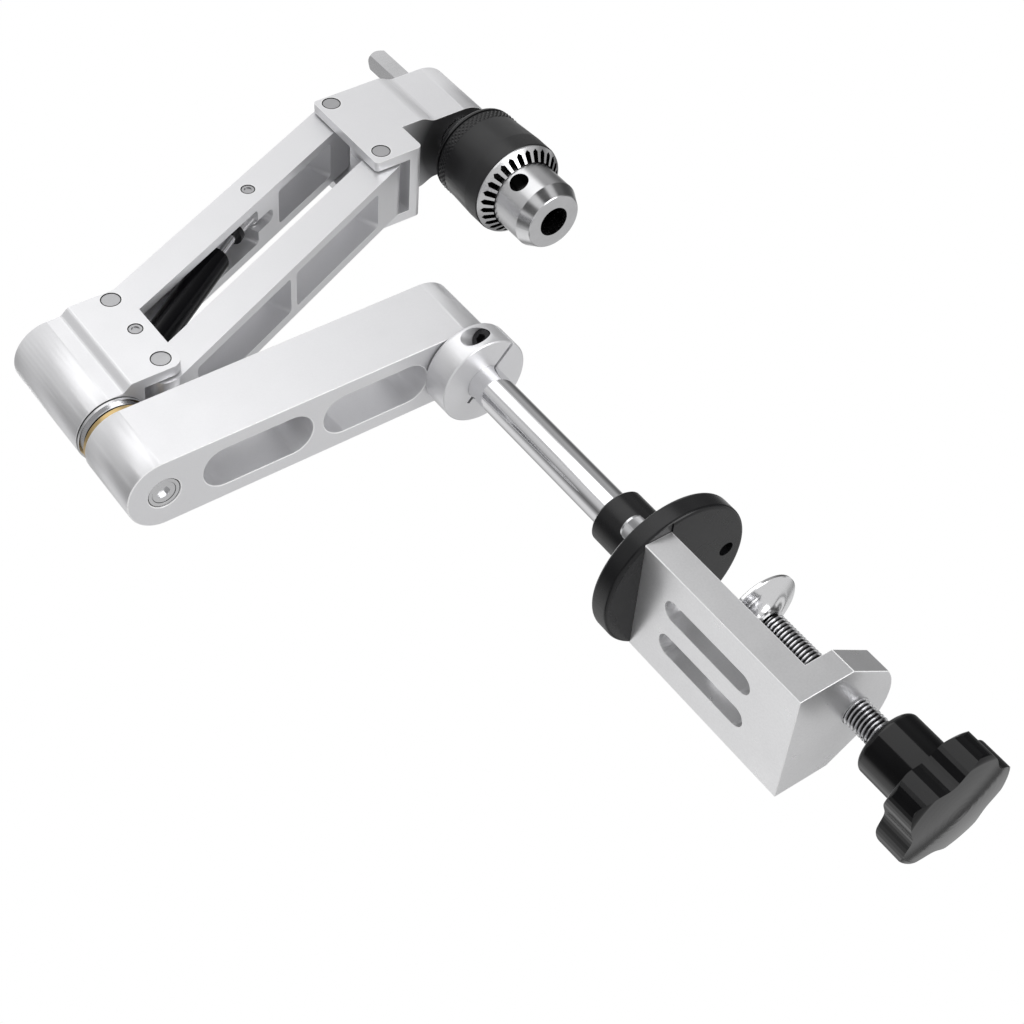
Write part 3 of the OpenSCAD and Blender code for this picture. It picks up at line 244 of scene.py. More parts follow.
def thread_finish():
    """Chrome with painted shade in the thread's roots, told apart by the distance from
    the screw's axis.
    """
    material = finish("threaded_chrome", CHROME_COLOR, metallic=1.0, roughness=0.12,
                      variation=0.03, grain=even(900), grain_height=0.004 * MM,
                      rough_range=0.04, grain_color=0.04)
    tree = material.node_tree
    far = axis_distance(tree, screw_axis.x, screw_axis.y)
    # Painted shade in the thread's roots
    darken(material, spread(tree, far, 1.0, 0.0, ROOT_SHADE_FULL_R, ROOT_SHADE_END_R), ROOT_SHADE_TONE)
    return material


# The ring of teeth is a cone from its inner radius, with a plain land outside
GEAR_IN_R = 17.0 * MM
GEAR_LAND_R = 22.0 * MM
# Rise over run of the cone
GEAR_SLOPE = 4.4 / 5.6
GEAR_LAND_EDGE = 0.1 * MM
# Depths below the cone at which the painted shade in the gaps between the teeth starts
# and is full, and its tone
GEAR_GAP_TOP = 0.10 * MM
GEAR_GAP_FULL = 0.45 * MM
GEAR_GAP_SHADE = (0.006, 0.006, 0.006)


def gear_finish():
    """Steel with painted shade in the gaps between the teeth, told apart by the depth in
    the cone.
    """
    material = finish("toothed_steel", STEEL_COLOR, metallic=1.0, roughness=0.24,
                      variation=0.04, grain=even(1500), grain_height=0.004 * MM,
                      rough_range=0.04, grain_color=0.04)
    tree = material.node_tree
    far = axis_distance(tree, chuck_axis.x, chuck_axis.y)
    cone = math_of(tree, "ADD", math_of(tree, "MULTIPLY", far, GEAR_SLOPE),
                   bottom_of("chuck_gear_ring") - GEAR_IN_R * GEAR_SLOPE)
    depth = math_of(tree, "SUBTRACT", height_of(tree), cone)
    deep = spread(tree, depth, 0.0, 1.0, GEAR_GAP_TOP, GEAR_GAP_FULL)
    inner = spread(tree, far, 1.0, 0.0, GEAR_LAND_R - GEAR_LAND_EDGE, GEAR_LAND_R)
    darken(material, math_of(tree, "MULTIPLY", deep, inner), GEAR_GAP_SHADE)
    return material


NOSE_R = 16.6 * MM
# Depths inside the nose's radius over which the painted shade in the key holes grows
HOLE_FULL_DEPTH = 0.5 * MM
HOLE_TOP_DEPTH = 0.25 * MM
# Below this height the bore's mouth stays bright
NOSE_FOOT = 8 * MM
NOSE_FOOT_EDGE = 0.2 * MM
HOLE_SHADE = (0.05, 0.05, 0.05)


def body_finish():
    """Turned steel with painted shade inside the key holes, told apart by place."""
    material = finish("turned_body", **dict(TURNED, roughness=0.22))
    tree = material.node_tree
    far = axis_distance(tree, chuck_axis.x, chuck_axis.y)
    inner = spread(tree, far, 1.0, 0.0, NOSE_R - HOLE_FULL_DEPTH,
                   NOSE_R - HOLE_TOP_DEPTH)
    foot = bottom_of("chuck_body") + NOSE_FOOT
    above = spread(tree, height_of(tree), 0.0, 1.0, foot, foot + NOSE_FOOT_EDGE)
    darken(material, math_of(tree, "MULTIPLY", inner, above), HOLE_SHADE)
    return material


# Shares of the race's height at which the painted shade of the gap fades and the painted
# shade line begins
RACE_GAP = (0.30, 0.36)
RACE_LINE = (0.86, 0.90)
RACE_SHADE_TONE = (0.012, 0.012, 0.012)


def race_finish():
    """Turned steel with painted shade: a dark gap below and a thin dark line above."""
    material = finish("bearing_race", **TURNED)
    tree = material.node_tree
    share = spread(tree, height_of(tree), 0.0, 1.0, bottom_of("thrust_race"),
                   top_of("thrust_race"))
    gap = spread(tree, share, 1.0, 0.0, *RACE_GAP)
    line = spread(tree, share, 0.0, 1.0, *RACE_LINE)
    darken(material, math_of(tree, "MAXIMUM", gap, line), RACE_SHADE_TONE)
    return material


SLEEVE_TOP_R = 22.0 * MM
# The painted shadow's strength at the sleeve, and where it ends, in the sleeve's radii
SLEEVE_SHADE = 0.93
SLEEVE_SHADE_END = 1.75
# Faces that look this far down are the underside
DOWN = (-0.98, -0.9)
# Tone of the painted shadow and reflection of the sleeve
SLEEVE_SHADOW_TONE = (0.03, 0.03, 0.032)


def head_finish():
    """Aluminium with a painted shadow and reflection of the chuck's black sleeve on its
    underside.
    """
    material = finish("head_aluminium", **ALUMINIUM)
    tree = material.node_tree
    under = spread(tree, facing(tree, "Z"), 1.0, 0.0, *DOWN)
    far = axis_distance(tree, chuck_axis.x, chuck_axis.y)
    near = spread(tree, far, SLEEVE_SHADE, 0.0, SLEEVE_TOP_R,
                  SLEEVE_SHADE_END * SLEEVE_TOP_R)
    darken(material, math_of(tree, "MULTIPLY", under, near), SLEEVE_SHADOW_TONE)
    return material


# Bump strengths of the bracket's plain faces and of its milled sides
PLAIN_GRAIN = 0.08
SIDE_GRAIN = 0.8
SIDE_FACING = (0.8, 0.95)
SIDE_SHARE = 0.15
SIDE_TONE = (0.30, 0.30, 0.305)


def bracket_finish():
    """Milled aluminium with more grain and a darker tone on faces that look along Y."""
    material = finish("milled_bracket", (0.79, 0.79, 0.80), metallic=0.76,
                      roughness=0.30, variation=0.02, grain=even(1100),
                      grain_height=0.014 * MM, rough_range=0.03, grain_color=0.06)
    tree = material.node_tree
    side = spread(tree, math_of(tree, "ABSOLUTE", facing(tree, "Y")), 0.0, 1.0,
                  *SIDE_FACING)
    bump = tree.nodes["Principled BSDF"].inputs["Normal"].links[0].from_node
    rise = math_of(tree, "MULTIPLY", side, SIDE_GRAIN - PLAIN_GRAIN)
    tree.links.new(math_of(tree, "ADD", rise, PLAIN_GRAIN), bump.inputs["Strength"])
    darken(material, math_of(tree, "MULTIPLY", side, SIDE_SHARE), SIDE_TONE)
    return material


aluminium = finish("satin_aluminium", **ALUMINIUM)
head_metal = head_finish()
bracket_metal = bracket_finish()
toothed_steel = gear_finish()
turned_body = body_finish()
race_steel = race_finish()
threaded_chrome = thread_finish()
turned_steel = finish("turned_steel", **TURNED)
# Pale, barely metallic finish of the broken edges and pin chamfers: a painted edge
# highlight
painted_edge_highlight = finish("painted_edge_highlight", (0.95, 0.95, 0.955), metallic=0.10,
                     roughness=0.26, variation=0.01, grain=even(1400),
                     grain_height=0.002 * MM, rough_range=0.03, grain_color=0.02)
black_enamel = finish("satin_black", BLACK_COLOR, metallic=0.0, roughness=0.26,
                      variation=0.10, grain=even(2200), grain_height=0.004 * MM,
                      rough_range=0.04, grain_color=0.1, Specular_IOR_Level=0.34)
black_oxide = finish("black_oxide", BLACK_COLOR, metallic=0.0, roughness=0.33,
                     variation=0.12, grain=even(1800), grain_height=0.005 * MM,
                     rough_range=0.05, grain_color=0.1, Specular_IOR_Level=0.42)
# Dull black for the clearance rings round the pins: painted shade
painted_gap_shade = finish("painted_gap_shade", BLACK_COLOR, metallic=0.0, roughness=0.6,
                   variation=0.1, grain=even(800), grain_height=0.002 * MM,
                   rough_range=0.05, grain_color=0.1, Specular_IOR_Level=0.2)
knob_black = finish("glossy_black", (0.003, 0.003, 0.0035), metallic=0.0,
                    roughness=0.09, variation=0.10, grain=even(600),
                    grain_height=0.002 * MM, rough_range=0.03, grain_color=0.1,
                    Specular_IOR_Level=0.42)
strut_black = finish("strut_black", (0.003, 0.003, 0.004), metallic=0.0,
                     roughness=0.20, variation=0.10, grain=(1500, 1500, 300),
                     grain_height=0.002 * MM, rough_range=0.04, grain_color=0.1,
                     Specular_IOR_Level=0.18)
chrome = finish("polished_chrome", CHROME_COLOR, metallic=1.0, roughness=0.08,
                variation=0.02, grain=(200, 200, 1800), grain_height=0.003 * MM,
                rough_range=0.03, grain_color=0.02)
plated_pad = finish("plated_pad", (0.80, 0.80, 0.81), metallic=1.0, roughness=0.15,
                    variation=0.02, grain=even(900), grain_height=0.003 * MM,
                    rough_range=0.03, grain_color=0.02)
bright_steel = finish("bright_steel", STEEL_COLOR, metallic=1.0, roughness=0.26,
                      variation=0.04, grain=even(1500), grain_height=0.005 * MM,
                      rough_range=0.05, grain_color=0.04)
pin_steel = finish("pin_steel", (0.45, 0.45, 0.46), metallic=0.9, roughness=0.36,
                   variation=0.05, grain=even(2500), grain_height=0.008 * MM,
                   rough_range=0.05, grain_color=0.08)
dark_steel = finish("blackened_steel", (0.045, 0.045, 0.048), metallic=0.7,
                    roughness=0.34, variation=0.12, grain=even(1600),
                    grain_height=0.008 * MM, rough_range=0.06, grain_color=0.1)
brass = finish("turned_brass", (0.55, 0.40, 0.19), metallic=1.0, roughness=0.30,
               variation=0.05, grain=(150, 150, 3600), grain_height=0.006 * MM,
               rough_range=0.05, grain_color=0.06)


NODE_FINISHES = {
    aluminium: ("height_collar", "lower_arm", "elbow_bracket", "upper_link",
                "lower_link"),
    head_metal: ("head_block",),
    bracket_metal: ("clamp_bracket",),
    black_enamel: ("base_flange",),
    knob_black: ("clamp_knob",),
    strut_black: ("strut_cylinder",),
    black_oxide: ("strut_lock_nut", "chuck_sleeve"),
    chrome: ("column", "clamp_screw", "clamp_pad", "strut_rod"),
    turned_body: ("chuck_body",),
    toothed_steel: ("chuck_gear_ring",),
    race_steel: ("thrust_race",),
    turned_steel: ("spindle", "elbow_shaft"),
    bright_steel: ("column_cap", "elbow_retainer", "spindle_bearing_lower",
                   "spindle_bearing_upper", "strut_upper_eye",
                   "elbow_screw", "flange_screws"),
    pin_steel: ("elbow_pin_upper", "elbow_pin_lower", "head_pin_upper",
                "head_pin_lower", "strut_pin_lower", "strut_pin_upper"),
    dark_steel: ("column_set_screw", "column_cap_screw", "collar_screw",
                 "strut_lower_eye", "spindle_circlip", "chuck_nut", "chuck_jaw_1",
                 "chuck_jaw_2", "chuck_jaw_3"),
    brass: ("column_bush_lower", "column_bush_upper", "elbow_bush_lower",
            "elbow_bush_upper", "thrust_washer"),
}
for material, names in NODE_FINISHES.items():
    for name in names:
        mesh = nodes[name].data
        mesh.materials.clear()
        mesh.materials.append(material)


# Broken edges on the machined pieces

EDGE_WIDTHS = {
    0.75 * MM: ("clamp_bracket",),
    0.40 * MM: ("lower_arm",),
    0.35 * MM: ("elbow_bracket", "head_block", "upper_link", "lower_link",
                "height_collar"),
}
EDGE_ANGLE = math.radians(28)
EDGE_STEPS = 2
# The bevel's faces take the second material slot, which holds the painted edge highlight
EDGE_SLOT = 1
WELD_REACH = 0.002 * MM
FLAT_ANGLE = math.radians(0.4)


def break_edges(obj, width):
    """Rounds a piece's sharp edges a little, as a deburring tool does."""
    weld = obj.modifiers.new("weld", "WELD")
    weld.merge_threshold = WELD_REACH
    flat = obj.modifiers.new("flat", "DECIMATE")
    flat.decimate_type = "DISSOLVE"
    flat.angle_limit = FLAT_ANGLE
    edge = obj.modifiers.new("edge", "BEVEL")
    edge.width = width
    edge.segments = EDGE_STEPS
    edge.material = EDGE_SLOT
    edge.limit_method = "ANGLE"
    edge.angle_limit = EDGE_ANGLE
    edge.harden_normals = True
    edge.use_clamp_overlap = True


for width, names in EDGE_WIDTHS.items():
    for name in names:
        # The painted edge highlight goes in the second slot, for the bevel's faces
        nodes[name].data.materials.append(painted_edge_highlight)
        break_edges(nodes[name], width)


# Mesh helpers

# Edges sharper than this stay sharp, in degrees
SMOOTH_ANGLE = 35
PAD_SMOOTH_ANGLE = 30
FINE_SMOOTH_ANGLE = 20
SAME_POINT = 0.001 * MM


def put_in_scene(name, data):
    """Makes an object of some data and links it to the scene."""
    obj = bpy.data.objects.new(name, data)
    bpy.context.scene.collection.objects.link(obj)
    return obj


def add_piece(name, body, slot, material, vertices, faces, smooth=SMOOTH_ANGLE):
    """Adds a mesh piece that moves with a body and takes the given material; the slot is
    not used.
    """
    mesh = bpy.data.meshes.new(name)
    mesh.from_pydata(vertices, [], faces)
    tidy = bmesh.new()
    tidy.from_mesh(mesh)
    bmesh.ops.remove_doubles(tidy, verts=tidy.verts, dist=SAME_POINT)
    bmesh.ops.dissolve_degenerate(tidy, dist=SAME_POINT, edges=tidy.edges)
    bmesh.ops.recalc_face_normals(tidy, faces=tidy.faces)
    tidy.to_mesh(mesh)
    tidy.free()
    mesh.materials.append(material)
    piece = put_in_scene(name, mesh)
    mesh.shade_smooth()
    mesh.set_sharp_from_angle(angle=math.radians(smooth))
    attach(piece, body)
    return piece


def round_point(x, y, r, turn, z):
    """Point at a radius and a turn about an upright axis."""
    return x + r * math.cos(turn), y + r * math.sin(turn), z


def ring_faces(steps, count, closed=False):
    """Faces between columns of count points round an axis, each open or closed."""
    faces = []
    for i in range(steps):
        near, far = i * count, (i + 1) % steps * count
        for j in range(count if closed else count - 1):
            k = (j + 1) % count
            faces.append((near + j, far + j, far + k, near + k))
    return faces


def lathe(profile, axis, steps):
    """Vertices and faces of a profile of (radius, z) turned about an upright axis."""
    vertices = [round_point(axis.x, axis.y, r, FULL_TURN * i / steps, z)
                for i in range(steps) for r, z in profile]
    return vertices, ring_faces(steps, len(profile))


def join(parts):
    """One list of vertices and one of faces out of several."""
    vertices, faces = [], []
    for more, sides in parts:
        start = len(vertices)
        vertices += more
        faces += [tuple(start + v for v in side) for side in sides]
    return vertices, faces


# Clamp screw with its thread, neck and ball

SCREW_R = 6.0 * MM
THREAD_ROOT_R = 4.95 * MM
THREAD_PITCH = 1.75 * MM
THREAD_STEPS = 48
# Shares of one pitch at which the crest starts and ends and the root starts and ends
THREAD_FORM = ((0.0, SCREW_R), (0.17, SCREW_R), (0.46, THREAD_ROOT_R),
               (0.71, THREAD_ROOT_R))
# Spare turns below and above, which are pressed flat onto the thread's two ends
SPARE_BELOW = 2
SPARE_ABOVE = 1
BALL_R = 3.4 * MM
BALL_NECK_R = 2.3 * MM
SHOULDER_DROP = 7.0 * MM
BALL_STEPS = 10


def thread_mesh(axis, low, high):
    """Right-hand thread between two heights, with a tapered start at the top."""
    vertices, faces = [], []
    turns = int((high - low) / THREAD_PITCH) + SPARE_BELOW + SPARE_ABOVE
    rows = turns * len(THREAD_FORM)
    for i in range(THREAD_STEPS + 1):
        turn = FULL_TURN * i / THREAD_STEPS
        for j in range(rows):
            share, r = THREAD_FORM[j % len(THREAD_FORM)]
            turns_up = i / THREAD_STEPS + j // len(THREAD_FORM) + share - SPARE_BELOW
            z = min(max(low + turns_up * THREAD_PITCH, low), high)
            r = min(r, THREAD_ROOT_R + (high - z))
            vertices.append(round_point(axis.x, axis.y, r, turn, z))
    for i in range(THREAD_STEPS):
        for j in range(rows - 1):
            a, b = i * rows + j, (i + 1) * rows + j
            faces.append((a, b, b + 1, a + 1))
    return vertices, faces


def make_clamp_screw():
    """Screw with a thread, a neck and a ball end, in place of the one without thread."""
    low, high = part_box("clamp_screw")
    shoulder = high.z - SHOULDER_DROP
    ball_z = high.z - BALL_R
    foot = math.asin(BALL_NECK_R / BALL_R)
    ball = []
    for k in range(BALL_STEPS + 1):
        a = foot + (math.pi - foot) * k / BALL_STEPS
        ball.append((BALL_R * math.sin(a), ball_z - BALL_R * math.cos(a)))
    end = [(0, low.z), (THREAD_ROOT_R, low.z)]
    neck = [(THREAD_ROOT_R, shoulder), (BALL_NECK_R, shoulder)] + ball
    parts = (thread_mesh(screw_axis, low.z, shoulder),
             lathe(end, screw_axis, THREAD_STEPS),
             lathe(neck, screw_axis, THREAD_STEPS))
    piece = add_piece("clamp_screw_threaded", "clamp_screw", "chrome",
                      threaded_chrome, *join(parts))
    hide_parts("clamp_screw")


# Clamp pad

PAD_R = 18.0 * MM
PAD_H = 7.6 * MM
PAD_RIM_T = 1.6 * MM
PAD_SHELF_R = 13.5 * MM
PAD_SHELF_Z = 2.4 * MM
PAD_NECK_R = 6.3 * MM
PAD_CROWN_T = 0.9 * MM
PAD_EDGE = 0.3 * MM
PAD_FLARE_STEPS = 24
PAD_STEPS = 96
SOCKET_PLAY = 0.05 * MM


def make_clamp_pad():
    """Chrome pad with a smooth flare and a chamfered rim, over a ball socket."""
    top = top_of("clamp_pad")
    quarter = math.pi / 2
    profile = [(0, top), (PAD_R - PAD_EDGE, top), (PAD_R, top - PAD_EDGE),
               (PAD_R, top - PAD_RIM_T + PAD_EDGE), (PAD_R - PAD_EDGE, top - PAD_RIM_T)]
    for k in range(PAD_FLARE_STEPS + 1):
        a = quarter * k / PAD_FLARE_STEPS
        profile.append((PAD_NECK_R + (PAD_SHELF_R - PAD_NECK_R) * (1 - math.sin(a)),
                        top - PAD_SHELF_Z - (PAD_H - PAD_SHELF_Z) * (1 - math.cos(a))))
    socket_r = BALL_R + SOCKET_PLAY
    socket_z = top - PAD_CROWN_T - BALL_R
    profile.append((socket_r, top - PAD_H))
    for k in range(BALL_STEPS + 1):
        a = quarter * k / BALL_STEPS
        profile.append((socket_r * math.cos(a), socket_z + socket_r * math.sin(a)))
    piece = add_piece("clamp_pad_turned", "pad", "chrome", plated_pad,
                      *lathe(profile, screw_axis, PAD_STEPS), PAD_SMOOTH_ANGLE)
    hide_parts("clamp_pad")


# Rings of painted shade and painted highlight round the pins

PIN_GROUPS = {
    "elbow": ("elbow_pin_upper", "elbow_pin_lower", "strut_pin_lower"),
    "forearm_upper": ("strut_pin_upper",),
    "head": ("head_pin_upper", "head_pin_lower"),
}
PIN_INSET = 0.1 * MM
PIN_STEPS = 48
# Each ring's radii from the pin's edge, and how far it stands off the ear
PIN_RINGS = (
    ("gap", "black_finish", painted_gap_shade, -0.12 * MM, 0.34 * MM, 0.030 * MM),
    ("chamfer", "aluminium", painted_edge_highlight, 0.30 * MM, 0.62 * MM, 0.022 * MM),
)
RING_SINK = 0.2 * MM


def flat_ring(centre, inner, outer, face, side):
    """A thin ring round a pin's end, whose back is sunk into the ear."""
    vertices = []
    sunk = face - side * RING_SINK
    section = ((inner, sunk), (inner, face), (outer, face), (outer, sunk))
    for i in range(PIN_STEPS):
        turn = FULL_TURN * i / PIN_STEPS
        for r, y in section:
            vertices.append((centre.x + r * math.cos(turn), y,
                             centre.z + r * math.sin(turn)))
    return vertices, ring_faces(PIN_STEPS, len(section), closed=True)


def make_pin_rings():
    """Ring of painted shade in the clearance and ring of painted highlight on the
    chamfer, round both ends of every pin.
    """
    for body, pins in PIN_GROUPS.items():
        for kind, slot, metal, start, stop, proud in PIN_RINGS:
            parts = []
            for pin in pins:
                low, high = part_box(pin)
                centre = (low + high) / 2
                pin_r = (high.x - low.x) / 2
                for side, end in ((1, high.y), (-1, low.y)):
                    face = end + side * (PIN_INSET + proud)
                    parts.append(flat_ring(centre, pin_r + start, pin_r + stop,
                                           face, side))
            add_piece(body + "_pin_" + kind, body, slot, metal, *join(parts))


# Knurl round the chuck's sleeve

# Depths of the knurled band's edges below the sleeve's top
KNURL_LOW = 8.9 * MM
KNURL_HIGH = 3.8 * MM
KNURL_COUNT = 116
KNURL_PITCH = 1.15 * MM
KNURL_DEPTH = 0.34 * MM
KNURL_SINK = 0.12 * MM
# The valleys' share of the way from the sunk edge to the sleeve's surface
KNURL_VALLEY = 0.9
KNURL_SAMPLES = 4


def tooth(share):
    """Triangle wave that goes from 0 to 1 and back as the share grows by 1."""
    return 1 - abs(2 * (share % 1.0) - 1)


def make_sleeve_knurl():
    """Diamond knurl round the top of the chuck's sleeve."""
    top = top_of("chuck_sleeve")
    low, high = top - KNURL_LOW, top - KNURL_HIGH
    sunk_r = SLEEVE_TOP_R - KNURL_SINK
    columns = KNURL_COUNT * KNURL_SAMPLES
    rows = int((high - low) / KNURL_PITCH * KNURL_SAMPLES)
    vertices = []
    for i in range(columns):
        turn = FULL_TURN * i / columns
        for j in range(rows + 1):
            u, v = i / KNURL_SAMPLES, j / KNURL_SAMPLES
            peak = min(tooth((u + v) / 2), tooth((u - v) / 2))
            rise = KNURL_SINK * KNURL_VALLEY + KNURL_DEPTH * peak if 0 < j < rows else 0
            vertices.append(round_point(chuck_axis.x, chuck_axis.y, sunk_r + rise,
                                        turn, low + (high - low) * j / rows))
    add_piece("sleeve_knurl", "sleeve", "black_finish", black_oxide, vertices,
              ring_faces(columns, rows + 1), FINE_SMOOTH_ANGLE)


# Ribs round the flange screws' heads

HEAD_HEIGHT = 6.0 * MM
HEAD_R = 5.0 * MM
HEAD_RIB_R = 5.25 * MM
HEAD_RIBS = 40
HEAD_PLAIN = 0.8 * MM
RIB_LEAD = 0.2 * MM
# Shares of the head's radius for the valleys and for the band's sunk edges
RIB_VALLEY = 1.002
RIB_SUNK = 0.99


def make_head_ribs():
    """Straight ribs round the two cap screws on the flange."""
    low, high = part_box("flange_screws")
    x = (low.x + high.x) / 2
    top = high.z - HEAD_PLAIN
    bottom = high.z - HEAD_HEIGHT + HEAD_PLAIN / 2
    steps = HEAD_RIBS * 2
    sunk_r = HEAD_R * RIB_SUNK
    parts = []
    for y in (low.y + HEAD_R, high.y - HEAD_R):
        vertices = []
        for i in range(steps):
            rib = HEAD_RIB_R if i % 2 else HEAD_R * RIB_VALLEY
            column = ((sunk_r, bottom), (rib, bottom + RIB_LEAD), (rib, top - RIB_LEAD),
                      (sunk_r, top))
            vertices += [round_point(x, y, r, FULL_TURN * i / steps, z)
                         for r, z in column]
        parts.append((vertices, ring_faces(steps, len(column))))
    add_piece("flange_screw_ribs", "base", "steel", pin_steel, *join(parts),
              FINE_SMOOTH_ANGLE)


make_clamp_screw()
make_clamp_pad()
make_pin_rings()
make_sleeve_knurl()
make_head_ribs()


# Camera at the photograph's place

CAMERA_PLACE = Vector((0.370305, 0.570112, -0.345814))
CAMERA_RIGHT = Vector((-0.80877, 0.06214, -0.58483))
CAMERA_UP = Vector((-0.39673, 0.67642, 0.62053))
LENS_MM = 70.68
SENSOR_MM = 36.0

camera_data = bpy.data.cameras.new("camera")
camera_data.lens = LENS_MM
camera_data.sensor_width = SENSOR_MM
camera = put_in_scene("camera", camera_data)
camera_back = CAMERA_RIGHT.cross(CAMERA_UP).normalized()
camera_up = camera_back.cross(CAMERA_RIGHT).normalized()
axes = Matrix((CAMERA_RIGHT.normalized(), camera_up, camera_back)).transposed()
camera.matrix_world = Matrix.Translation(CAMERA_PLACE) @ axes.to_4x4()
bpy.context.scene.camera = camera


# World and floor

AMBIENT = 0.60
FLOOR_Z = -0.80
FLOOR_SIZE = 14.0
FLOOR_ROUGHNESS = 0.9
PALE = (0.86, 0.86, 0.86)
# In reflections the floor's tone falls between two distances from the middle
FLOOR_NEAR, FLOOR_FAR = 1.7, 2.2
FLOOR_NEAR_TONE, FLOOR_FAR_TONE = 0.72, 0.22


def mix_shaders(tree, factor, first, second, output):
    """Sends a mix of two shaders to an output."""
    mix = node_of(tree, "ShaderNodeMixShader")
    tree.links.new(factor, mix.inputs["Fac"])
    tree.links.new(first.outputs[0], mix.inputs[1])
    tree.links.new(second.outputs[0], mix.inputs[2])
    tree.links.new(mix.outputs[0], output.inputs["Surface"])


def seen_directly(tree):
    """1 for camera, glossy and transmission rays, and 0 for the others."""
    path = node_of(tree, "ShaderNodeLightPath")
    either = math_of(tree, "MAXIMUM", path.outputs["Is Camera Ray"],
                     path.outputs["Is Glossy Ray"])
    return math_of(tree, "MAXIMUM", either, path.outputs["Is Transmission Ray"])


def make_world():
    """White behind the object, and a softer even light on it."""
    world = bpy.data.worlds.new("studio")
    bpy.context.scene.world = world
    world.use_nodes = True
    tree = world.node_tree
    tree.nodes.clear()
    output = node_of(tree, "ShaderNodeOutputWorld")
    backdrop = node_of(tree, "ShaderNodeBackground", Color=(1, 1, 1, 1), Strength=1.0)
    ambient = node_of(tree, "ShaderNodeBackground", Color=(1, 1, 1, 1),
                      Strength=AMBIENT)
    mix_shaders(tree, seen_directly(tree), ambient, backdrop, output)


def make_floor():
    """A plain pale floor far below the arm, darker far out in reflections."""
    mesh = bpy.data.meshes.new("floor")
    half = FLOOR_SIZE / 2
    corners = [(-half, -half, FLOOR_Z), (half, -half, FLOOR_Z),
               (half, half, FLOOR_Z), (-half, half, FLOOR_Z)]
    mesh.from_pydata(corners, [], [(0, 1, 2, 3)])
    floor = put_in_scene("floor", mesh)
    paint = surface("floor_paint", PALE, 0.0, FLOOR_ROUGHNESS)
    tree = paint.node_tree
    glow = node_of(tree, "ShaderNodeEmission", Color=(1, 1, 1, 1))
    tree.links.new(spread(tree, axis_distance(tree), FLOOR_NEAR_TONE, FLOOR_FAR_TONE,
                          FLOOR_NEAR, FLOOR_FAR), glow.inputs["Strength"])
    path = node_of(tree, "ShaderNodeLightPath")
    mix_shaders(tree, path.outputs["Is Glossy Ray"], tree.nodes["Principled BSDF"],
                glow, tree.nodes["Material Output"])
    mesh.materials.append(paint)


# Studio wall, which only shows in reflections
# Tones go round from -180 to 180 degrees, 0 being +X, in four bands one over another
WALL_R = 2.6
WALL_HIGH = 4.6
WALL_STEPS = 96
WALL_FOOT_TONES = ((-180, 0.30), (-170, 0.75), (-118, 0.75), (-100, 0.15),
                   (-70, 0.80), (-40, 0.12), (-12, 0.15), (-2, 0.95), (12, 0.95),
                   (20, 0.10), (44, 0.08), (52, 1.10), (72, 1.10), (80, 0.08),
                   (104, 0.10), (112, 0.95), (128, 0.95), (136, 0.08), (160, 0.10),
                   (180, 0.30))
WALL_LOW_TONES = ((-180, 0.08), (-125, 0.20), (-95, 0.30), (-78, 1.05), (-35, 1.05),
                  (-18, 0.15), (10, 0.10), (40, 0.12), (60, 0.20), (120, 0.20),
                  (140, 0.22), (165, 0.08), (180, 0.08))
WALL_HIGH_TONES = ((-180, 0.14), (-166, 0.14), (-152, 0.42), (-135, 0.80),
                   (-118, 0.75), (-98, 0.36), (-82, 0.55), (-60, 0.90), (-35, 0.80),
                   (-20, 0.36), (-6, 0.16), (6, 0.26), (20, 0.60), (40, 0.74),
                   (60, 0.48), (76, 0.90), (114, 0.90), (123, 0.40), (148, 0.46),
                   (166, 0.22), (180, 0.14))
WALL_TOP_TONES = ((-180, 0.80), (-120, 0.85), (-92, 0.42), (-60, 0.45), (-5, 0.70),
                  (35, 0.62), (100, 0.62), (128, 0.92), (150, 0.85), (180, 0.80))
# Heights between which one band fades into the next
FOOT_FADE = (-0.25, 0.15)
LOW_FADE = (0.75, 1.30)
TOP_FADE = (2.25, 2.50)


def tone_ring(tree, turn, tones):
    """Colour ramp of greys round the wall."""
    ramp = node_of(tree, "ShaderNodeValToRGB")
    stops = ramp.color_ramp.elements
    while len(stops) < len(tones):
        stops.new(0.5)
    for stop, (angle, tone) in zip(stops, tones):
        stop.position = angle / 360 + 0.5
        stop.color = (tone, tone, tone, 1)
    tree.links.new(turn, ramp.inputs["Fac"])
    return ramp.outputs["Color"]


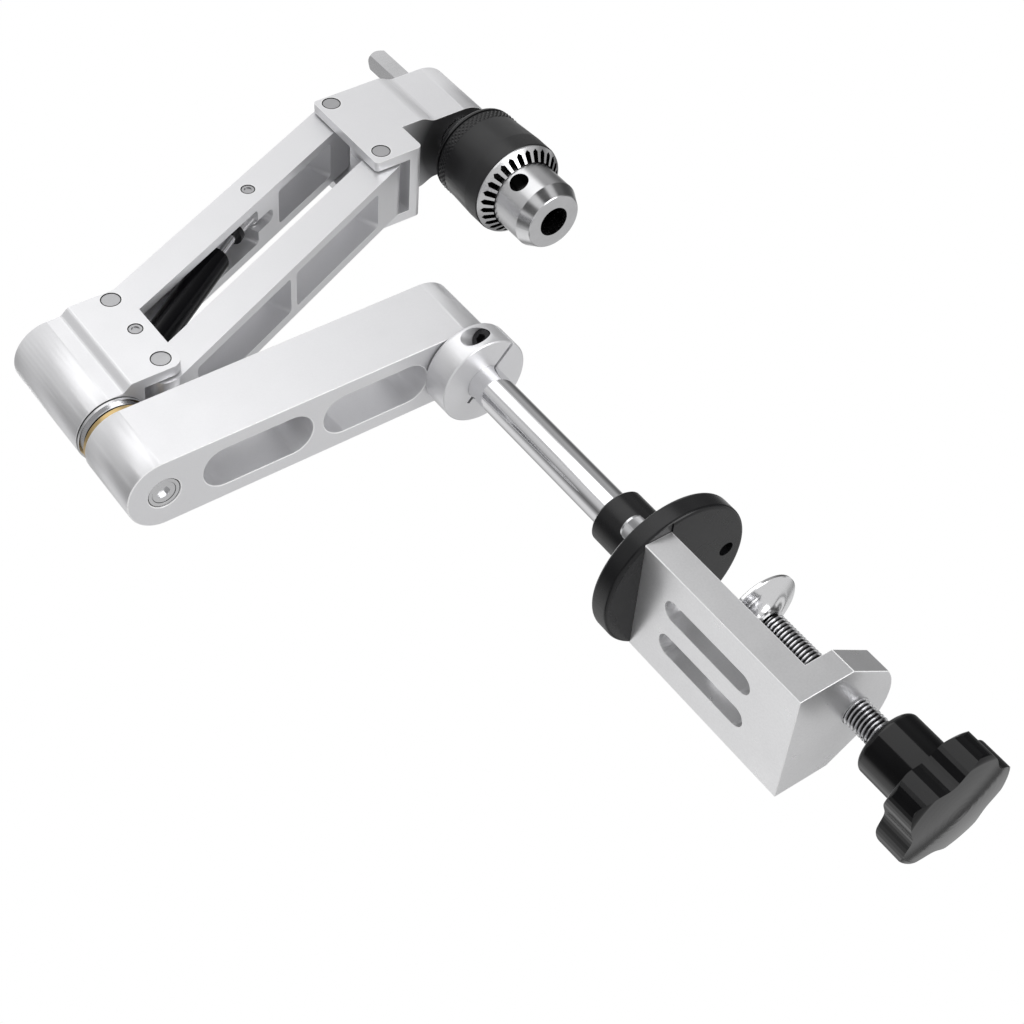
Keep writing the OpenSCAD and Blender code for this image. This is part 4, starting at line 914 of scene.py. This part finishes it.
def make_paper():
    """Glow whose grey depends on the bearing and on the height."""
    paper = bpy.data.materials.new("studio_paper")
    paper.use_nodes = True
    tree = paper.node_tree
    tree.nodes.clear()
    place = object_space(tree)
    bearing = node_of(tree, "ShaderNodeTexGradient", gradient_type="RADIAL")
    tree.links.new(place, bearing.inputs["Vector"])
    turn = bearing.outputs["Fac"]
    height = part_of(tree, place, "Z")
    above_foot = mix_colors(tree, spread(tree, height, 0.0, 1.0, *LOW_FADE),
                            tone_ring(tree, turn, WALL_LOW_TONES),
                            tone_ring(tree, turn, WALL_HIGH_TONES))
    below_top = mix_colors(tree, spread(tree, height, 0.0, 1.0, *FOOT_FADE),
                           tone_ring(tree, turn, WALL_FOOT_TONES), above_foot)
    whole = mix_colors(tree, spread(tree, height, 0.0, 1.0, *TOP_FADE), below_top,
                       tone_ring(tree, turn, WALL_TOP_TONES))
    glow = node_of(tree, "ShaderNodeEmission")
    tree.links.new(whole, glow.inputs["Color"])
    output = node_of(tree, "ShaderNodeOutputMaterial")
    tree.links.new(glow.outputs[0], output.inputs["Surface"])
    return paper


def make_wall():
    """Round wall of greys that gives the bright metal something to reflect."""
    mesh = bpy.data.meshes.new("studio_wall")
    vertices = [round_point(0, 0, WALL_R, FULL_TURN * i / WALL_STEPS, z)
                for i in range(WALL_STEPS) for z in (FLOOR_Z, WALL_HIGH)]
    mesh.from_pydata(vertices, [], ring_faces(WALL_STEPS, 2))
    wall = put_in_scene("studio_wall", mesh)
    wall.visible_camera = False
    wall.visible_diffuse = False
    wall.visible_shadow = False
    wall.visible_volume_scatter = False
    mesh.materials.append(make_paper())


# Lamps, all aimed at the object's middle

CENTRE = Vector((0.03, 0.0, 0.08))


def around(azimuth, elevation, distance):
    """Place at a bearing from the object's middle, in degrees and metres."""
    turn, rise = math.radians(azimuth), math.radians(elevation)
    return CENTRE + distance * Vector((math.cos(rise) * math.cos(turn),
                                       math.cos(rise) * math.sin(turn), math.sin(rise)))


def soft_light(name, place, width, height, level):
    """An area lamp that faces the object. Its level is a brightness, at any size."""
    data = bpy.data.lights.new(name, "AREA")
    data.shape = "RECTANGLE"
    data.size = width
    data.size_y = height
    data.energy = level * math.pi * width * height
    lamp = put_in_scene(name, data)
    lamp.location = place
    lamp.rotation_euler = (CENTRE - place).to_track_quat("-Z", "Y").to_euler()
    lamp.visible_camera = False


make_world()
make_floor()
make_wall()
soft_light("key_low", around(84, 18, 1.7), width=1.90, height=1.00, level=1.0)
soft_light("key_high", around(84, 44, 1.7), width=1.40, height=0.60, level=0.8)
soft_light("bounce", around(118, -44, 0.95), width=0.6, height=0.5, level=3.2)
soft_light("back", around(-105, 60, 1.8), width=0.9, height=0.9, level=1.8)

bpy.context.scene.view_settings.view_transform = "Standard"
